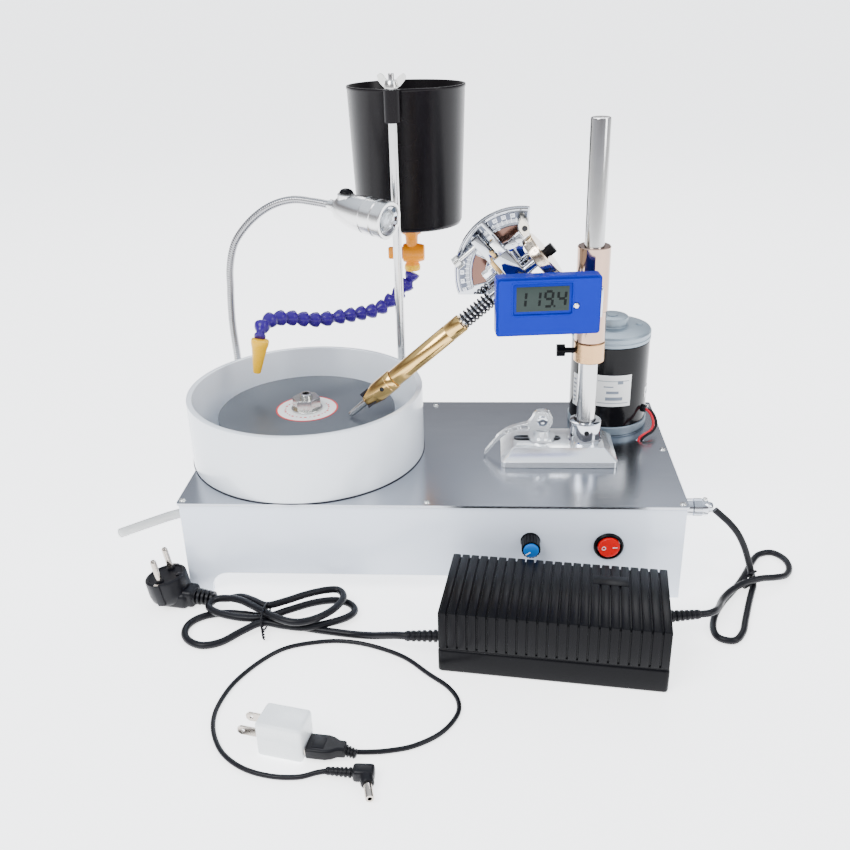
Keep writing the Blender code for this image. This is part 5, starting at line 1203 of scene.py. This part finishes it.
def build_stop_and_pawl():
    """The angle stop screw and the index pawl."""
    stop = QUILL @ at(-39, 1, 0)
    bm = bmesh.new()
    add_lathe(bm, [(0, -5), (1.6, -5.3), (2.0, -6), (2.0, -28.4), (0, -28.4)], 24, stop)
    head = []
    for i in range(16):
        head += arc(0, 0, 5.1, i * 22.5, i * 22.5 + 12, 3) + arc(0, 0, 4.7, i * 22.5 + 14,
                                                                 i * 22.5 + 20, 2)
    add_outline(bm, [head], -33.4, -28.4, stop)
    finish_mesh("stop_screw_piece", bm, ZINC, "stop_screw", nodes=["angle_stop_screw"],
                slot="zinc")
    plane = QUILL @ turn(-90, "X")
    arm = [(21.2, 8.8), (20.6, 14.0), (20.7, 20.4), (26.9, 20.4), (26.4, 8.8)]
    bm = bmesh.new()
    add_outline(bm, [[(-t, -s) for t, s in arm]], -0.2, 4.6, plane)
    finish_mesh("pawl_arm_piece", bm, CHROME, "pawl", bevel=0.4, nodes=["index_pawl"])
    tip = [(20.4, 25.8), (20.8, 20.2), (25.4, 20.8), (28.2, 21.6), (31.4, 23.6), (33.2, 26.2),
           (33.9, 29.0), (30.0, 29.6), (25.2, 29.2)]
    bm = bmesh.new()
    add_outline(bm, [[(-t, -s) for t, s in tip]], -3.2, 4.8, plane)
    finish_mesh("pawl_tip_piece", bm, CREAM, "pawl", bevel=0.6, nodes=["index_pawl"],
                slot="champagne_nickel")
    lathe_piece("pawl_pin_piece", [(0, 6), (1.4, 6), (1.4, -5), (0, -5)], CHROME, "pawl",
                QUILL @ at(-23, 0, 11.6) @ FRONT_AXIS, 20, nodes=["index_pawl"])
    lathe_piece("pawl_screw", [(0, 4.2), (1.8, 4.1), (2.2, 3.7), (2.2, 2.8), (0, 2.8)],
                BLACK_STEEL, "pawl", QUILL @ at(-26.0, 0, 25.4) @ FRONT_AXIS, 24)


def build_quill():
    """The quill with its index wheel, spring, tube, chuck and dop stick."""
    lathe_piece("tube_piece", [(4.4, -59.8), (6.8, -59.8), (7.5, -60.6), (7.5, -74.0),
                               (7.3, -74.3), (7.5, -74.6), (7.5, -133.7), (7.2, -134.4),
                               (0, -134.4), (0, -70), (4.4, -70)][::-1], BRASS, "quill", QUILL,
                72, nodes=["quill_tube"], slot="brass")
    lathe_piece("chuck_piece", [(0, -134.7), (8.0, -134.7), (8.4, -135.3), (8.5, -139.4),
                                (8.1, -139.8), (8.1, -140.4), (8.5, -140.8), (8.5, -153.0),
                                (6.3, -162.5), (5.0, -165.8), (4.4, -166.3), (3.2, -166.3),
                                (3.2, -158.0), (0, -158.0)], BRASS, "spindle", QUILL, 72,
                nodes=["chuck"], slot="brass")
    bm = bmesh.new()
    for angle in (20, 140, 260):
        add_lathe(bm, [(0, 8.9), (1.5, 8.9), (1.9, 8.5), (1.9, 6), (0, 6)], 20,
                  QUILL @ at(0, 0, -146) @ turn(angle, "Z") @ turn(90, "Y"))
    finish_mesh("chuck_screws", bm, BLACK_STEEL, "spindle")
    bm = bmesh.new()
    for angle in (60, 180, 300):
        add_box(bm, (4.0, -0.35, -166.2), (8.0, 0.35, -157.5), QUILL @ turn(angle, "Z"))
    finish_mesh("chuck_slots", bm, SEAM, "spindle")
    tip = -185.0
    lathe_piece("dop_piece", [(0, -154.6), (2.8, -154.6), (2.8, tip + 4), (2.4, tip + 3),
                              (2.4, tip + 0.4), (2.1, tip), (0, tip)], STEEL, "spindle", QUILL,
                40, nodes=["dop_stick"], slot="steel")
    lathe_piece("shaft_piece", [(0, 18.0), (4.0, 18.0), (4.0, -69.4), (0, -69.4)], CHROME,
                "spindle", QUILL, 40, nodes=["quill_shaft"], slot="chrome")
    bm = bmesh.new()
    grip = []
    for i in range(20):
        grip += arc(0, 0, 4.3, i * 18, i * 18 + 9, 2) + arc(0, 0, 4.0, i * 18 + 11,
                                                            i * 18 + 16, 2)
    add_outline(bm, [grip], 26.6, 32.6, QUILL)
    add_lathe(bm, [(0, 26.7), (3.6, 26.7), (3.6, 17.0), (0, 17.0)], 24, QUILL)
    finish_mesh("spindle_knob", bm, BLACK, "spindle", bevel=0.3, nodes=["quill_shaft"])
    bm = bmesh.new()
    teeth = []
    for i in range(96):
        a = i * 3.75
        teeth += arc(0, 0, 19.3, a, a + 2.4, 2) + arc(0, 0, 18.8, a + 2.7, a + 3.45, 2)
    add_outline(bm, [teeth, circle(0, 0, 4.3, 40)], 24.4, 25.6, QUILL)
    add_lathe(bm, [(4.3, 24.5), (18.3, 24.5), (18.9, 24.3), (19.0, 24.0), (19.0, 17.4),
                   (18.4, 16.6), (17.0, 16.4), (15.5, 16.8), (9.0, 16.8), (8.6, 17.2),
                   (4.3, 17.2)], 96, QUILL)
    finish_mesh("wheel_piece", bm, CHAMPAGNE, "spindle", nodes=["index_wheel"],
                slot="champagne_nickel", angle=25)
    bm = bmesh.new()
    for i in range(96):
        high = 18.6 if i % 3 else 20.0
        add_box(bm, (18.7, -0.14, 17.0), (19.06, 0.14, high), QUILL @ turn(i * 3.75, "Z"))
    finish_mesh("wheel_ticks", bm, LABEL_INK, "spindle")
    for i in range(32):
        local = QUILL @ turn(i * 11.25, "Z") @ at(19.0, 0, 22.0) @ X_AXIS @ turn(90, "Z")
        text_piece("wheel_number_%02d" % i, str((i * 3) or 96), 2.7, LABEL_INK, "spindle",
                   local, 0.05)
    points = []
    turns, low, high = 8, -59.0, -29.8
    for i in range(turns * 24 + 1):
        angle = 2 * pi * i / 24
        height = low + (high - low) * i / (turns * 24)
        points.append(QUILL @ Vector((6.0 * cos(angle), 6.0 * sin(angle), height)))
    bm = bmesh.new()
    add_tube(bm, points, 0.8, 10)
    spring = finish_mesh("coil_spring", bm, BLACK_STEEL, "tilt", nodes=["quill_spring"],
                         slot="black_steel")
    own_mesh(spring)


# ---------------------------------------------------------------- water tank, valve and hose
def build_tank():
    """The drip tank, its rod and wing nut."""
    spot = at(*ROD_CENTRE)
    lathe_piece("rod_piece", [(0, 385), (2.2, 385), (2.4, 384.6), (2.4, 372.6), (3.6, 372.5),
                              (3.9, 372.2), (3.9, 89.5), (8.4, 89.5), (9, 88.9), (9, 84.3),
                              (0, 84.3)], STEEL, "machine", spot, 40, nodes=["tank_rod"],
                slot="steel")
    oval = at(*TANK_CENTRE) @ Matrix.Diagonal((1, 0.857, 1, 1))
    bm = bmesh.new()
    add_lathe(bm, [(0, 253), (43.5, 253), (45.4, 255), (50.0, 371.2), (50.3, 372.0),
                   (52.1, 372.0), (52.5, 371.4), (52.4, 369.6), (51.9, 369.2), (48.2, 254.5),
                   (46.5, 250.8), (44.5, 250), (0, 250)], 96, oval)
    tank = finish_mesh("tank_shell", bm, TANK_BLACK, "tank", nodes=["water_tank"],
                       slot="black_plastic", angle=50)
    bm = bmesh.new()
    add_lathe(bm, [(4.3, 372.5), (6.4, 372.5), (7, 371.9), (7, 346.6), (6.4, 346), (4.3, 346)],
              48, spot)
    add_box(bm, (ROD_CENTRE[0] - 6.0, ROD_CENTRE[1] + 3.5, 347), (ROD_CENTRE[0] + 6.0, 92.6,
                                                                 371.5), None, 0.8)
    finish_mesh("tank_clip", bm, TANK_BLACK, "tank", nodes=["water_tank"])
    bm = bmesh.new()
    add_lathe(bm, [(2.7, 380), (4.4, 380), (4.9, 379.4), (6.2, 374.6), (6.2, 373.6),
                   (2.7, 373.6)], 32, spot)
    for side in (-1, 1):
        wing = [(-2.2, 0), (2.2, 0), (3.3, 5.5), (3.0, 9.2), (0.8, 11.0), (-1.6, 9.8),
                (-2.8, 5.5)]
        wing = [(p.x, p.y) for p in smooth_route([(x, y, 0) for x, y in wing + wing[:1]], 0.9)]
        local = spot @ at(side * 4.4, 0, 375.6) @ turn(side * 36, "Y") @ turn(90, "X")
        add_outline(bm, [wing[:-1]], -1.0, 1.0, local)
    finish_mesh("wing_nut_piece", bm, ZINC, "wing_nut", bevel=0.4, nodes=["tank_wing_nut"],
                slot="zinc")
    return tank


def build_valve():
    """The drip valve under the tank."""
    vx, vy, vz = VALVE_CENTRE
    upright = at(vx, vy)
    bm = bmesh.new()
    add_lathe(bm, [(0, 249.7), (8.4, 249.7), (9, 249.0), (9, 244.6), (8.2, 243.2), (6.0, 238),
                   (5.6, 233), (5.6, 214), (7.0, 211), (0, 211)], 48, upright)
    add_outline(bm, [circle(0, 0, 8.9, 6)], 240.0, 244.6, upright)
    finish_mesh("valve_neck", bm, ORANGE, "tank", bevel=0.5, nodes=["valve_body"],
                slot="orange_plastic")
    sideways = at(vx, vy, vz) @ X_AXIS
    lathe_piece("valve_barrel_piece", [(0, 11.8), (6.4, 11.8), (7.4, 11.2), (8.0, 9.5),
                                       (8.7, 6.0), (8.7, -7.0), (8.0, -8.2), (0, -8.2)], ORANGE,
                "tank", sideways, 56, nodes=["valve_body"])
    lathe_piece("valve_outlet", [(0, 212), (6.2, 212), (7.3, 210.5), (7.6, 208), (7.2, 205.8),
                                 (6.0, 205.5), (0, 205.5)], YELLOW, "tank", upright, 48,
                nodes=["valve_body"])
    bm = bmesh.new()
    add_lathe(bm, [(0, -8.7), (5.4, -8.7), (6.0, -9.2), (6.0, -11.0), (0, -11.2)], 40)
    add_box(bm, (-5.8, -1.9, -22.5), (5.8, 1.9, -10.5), None, 1.6, 3)
    for y in (-1, 1):
        add_box(bm, (-4.4, y * 1.4 - 0.7, -21), (4.4, y * 1.4 + 0.7, -12), None, 0.6)
    finish_mesh("valve_tap", bm, ORANGE, "valve", sideways, nodes=["valve_handle"],
                slot="orange_plastic")


def add_cup(bm, start, end):
    """One segment of the snap-together hose: a ball that opens into a flared socket."""
    local = along(end, start)
    length = (Vector(end) - Vector(start)).length
    k = length / 12.5
    profile = [(0, 13.6), (5.6, 13.6), (6.9, 13.2), (7.2, 12.4), (6.7, 9.0), (5.4, 6.2),
               (4.3, 4.6), (4.0, 3.0), (4.6, 1.4), (5.2, 0.0), (4.9, -1.6), (3.6, -2.9), (0, -3)]
    add_lathe(bm, [(r, h * k) for r, h in profile], 32, local)


def build_hose():
    """The jointed hose and its nozzle."""
    for name, route, count, body, node in (
            ("hose_cups_upper", HOSE_UPPER_ROUTE, 8, "hose_top", "hose_upper"),
            ("hose_cups_lower", HOSE_LOWER_ROUTE, 6, "hose_end", "hose_lower")):
        points = smooth_route(route, route_length(route) / count)
        bm = bmesh.new()
        for start, end in zip(points, points[1:]):
            add_cup(bm, start, end)
        finish_mesh(name, bm, HOSE_BLUE, body, nodes=[node], slot="hose_blue")
    lathe_piece("nozzle_piece", [(0, 31.0), (6.0, 31.0), (7.6, 30.4), (8.0, 29.2), (7.6, 25.6),
                                 (6.6, 22.4), (6.2, 19.0), (5.2, 12.5), (3.6, 2.0), (3.3, 0.3),
                                 (2.9, 0), (2.0, 0), (2.0, 3), (0, 3)], YELLOW, "nozzle",
                along(NOZZLE_TIP, NOZZLE_TOP), 48, nodes=["hose_nozzle"], slot="yellow_plastic")


# ---------------------------------------------------------------- lamp
def build_lamp():
    """The gooseneck lamp."""
    foot_x, foot_y, _ = LAMP_NECK_ROUTE[0]
    lathe_piece("lamp_foot", [(0, 93.5), (4.6, 93.5), (5.5, 92.8), (5.9, 90.6), (7.4, 89.8),
                              (8.0, 89.0), (8.0, 84.9), (7.6, 84.3), (0, 84.3)], SATIN,
                "machine", at(foot_x, foot_y), 48, nodes=["lamp_neck_lower"])
    points = smooth_route(LAMP_NECK_ROUTE, 0.7)
    radii = [3.4 if i % 3 else 2.95 for i in range(len(points))]
    bm = bmesh.new()
    add_tube(bm, points, radii, 16)
    neck = finish_mesh("gooseneck", bm, NECK_STEEL, None, nodes=["lamp_neck_lower",
                                                            "lamp_neck_upper"], angle=80)
    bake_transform(neck)
    head = along(LAMP_REAR, LAMP_FRONT)
    length = (Vector(LAMP_FRONT) - Vector(LAMP_REAR)).length
    lathe_piece("lamp_shell", [(0, length - 4.6), (11.0, length - 4.6), (12.6, length - 0.3),
                               (13.2, length), (15.2, length), (15.8, length - 0.7),
                               (15.8, length - 8.0), (15.1, length - 8.6),
                               (15.1, length - 10.2), (15.8, length - 10.8), (15.8, 45.0),
                               (15.1, 44.4), (15.1, 43.0), (15.6, 42.4), (15.2, 36), (14.0, 27),
                               (11.8, 18), (9.6, 11.5), (6.2, 7.2), (5.2, 6.6), (4.9, 5.6),
                               (4.9, 0.8), (4.5, 0.3), (0, 0.3)], SATIN, "lamp", head, 96,
                nodes=["lamp_head"], slot="satin_aluminium")
    lathe_piece("lamp_reflector", [(0, length - 4.5), (4.0, length - 4.5), (8.6, length - 2.2),
                                   (11.6, length - 0.6), (11.9, length - 4.55),
                                   (0, length - 4.6)], CHROME, "lamp", head, 48)
    bm = bmesh.new()
    add_lathe(bm, [(0, length - 0.6), (4.5, length - 1.0), (9.0, length - 1.4),
                   (9.4, length - 2.0), (9.4, length - 2.8), (0, length - 4.2)], 12)
    finish_mesh("lamp_lens", bm, GLASS, "lamp", head, angle=10)
    axis = head.to_3x3() @ Vector((0, 0, 1))
    up = Vector((0, 0, 1))
    radial = (up - axis * up.dot(axis)).normalized()
    origin = Vector(LAMP_REAR) + axis * 18.5
    seat = along(origin, origin + radial)
    lathe_piece("lamp_button_seat", [(0, 13.2), (7.0, 13.2), (7.6, 12.6), (7.6, 6), (0, 6)],
                SATIN, "lamp", seat, 40, nodes=["lamp_head"])
    lathe_piece("lamp_button_dome", [(0, 17.6), (2.6, 17.3), (4.6, 16.4), (5.8, 15.0),
                                     (6.0, 14.2), (0, 14.2)], BLACK, "lamp_switch", seat, 40,
                nodes=["lamp_button"], slot="black_plastic")


set_camera()
set_studio()
build_cords()
build_chassis()
build_basin()
build_motor()
build_controls()
build_mast()
build_carriage()
build_fan()
build_display()
build_yoke()
build_stop_and_pawl()
build_quill()
build_tank()
build_valve()
build_hose()
build_lamp()
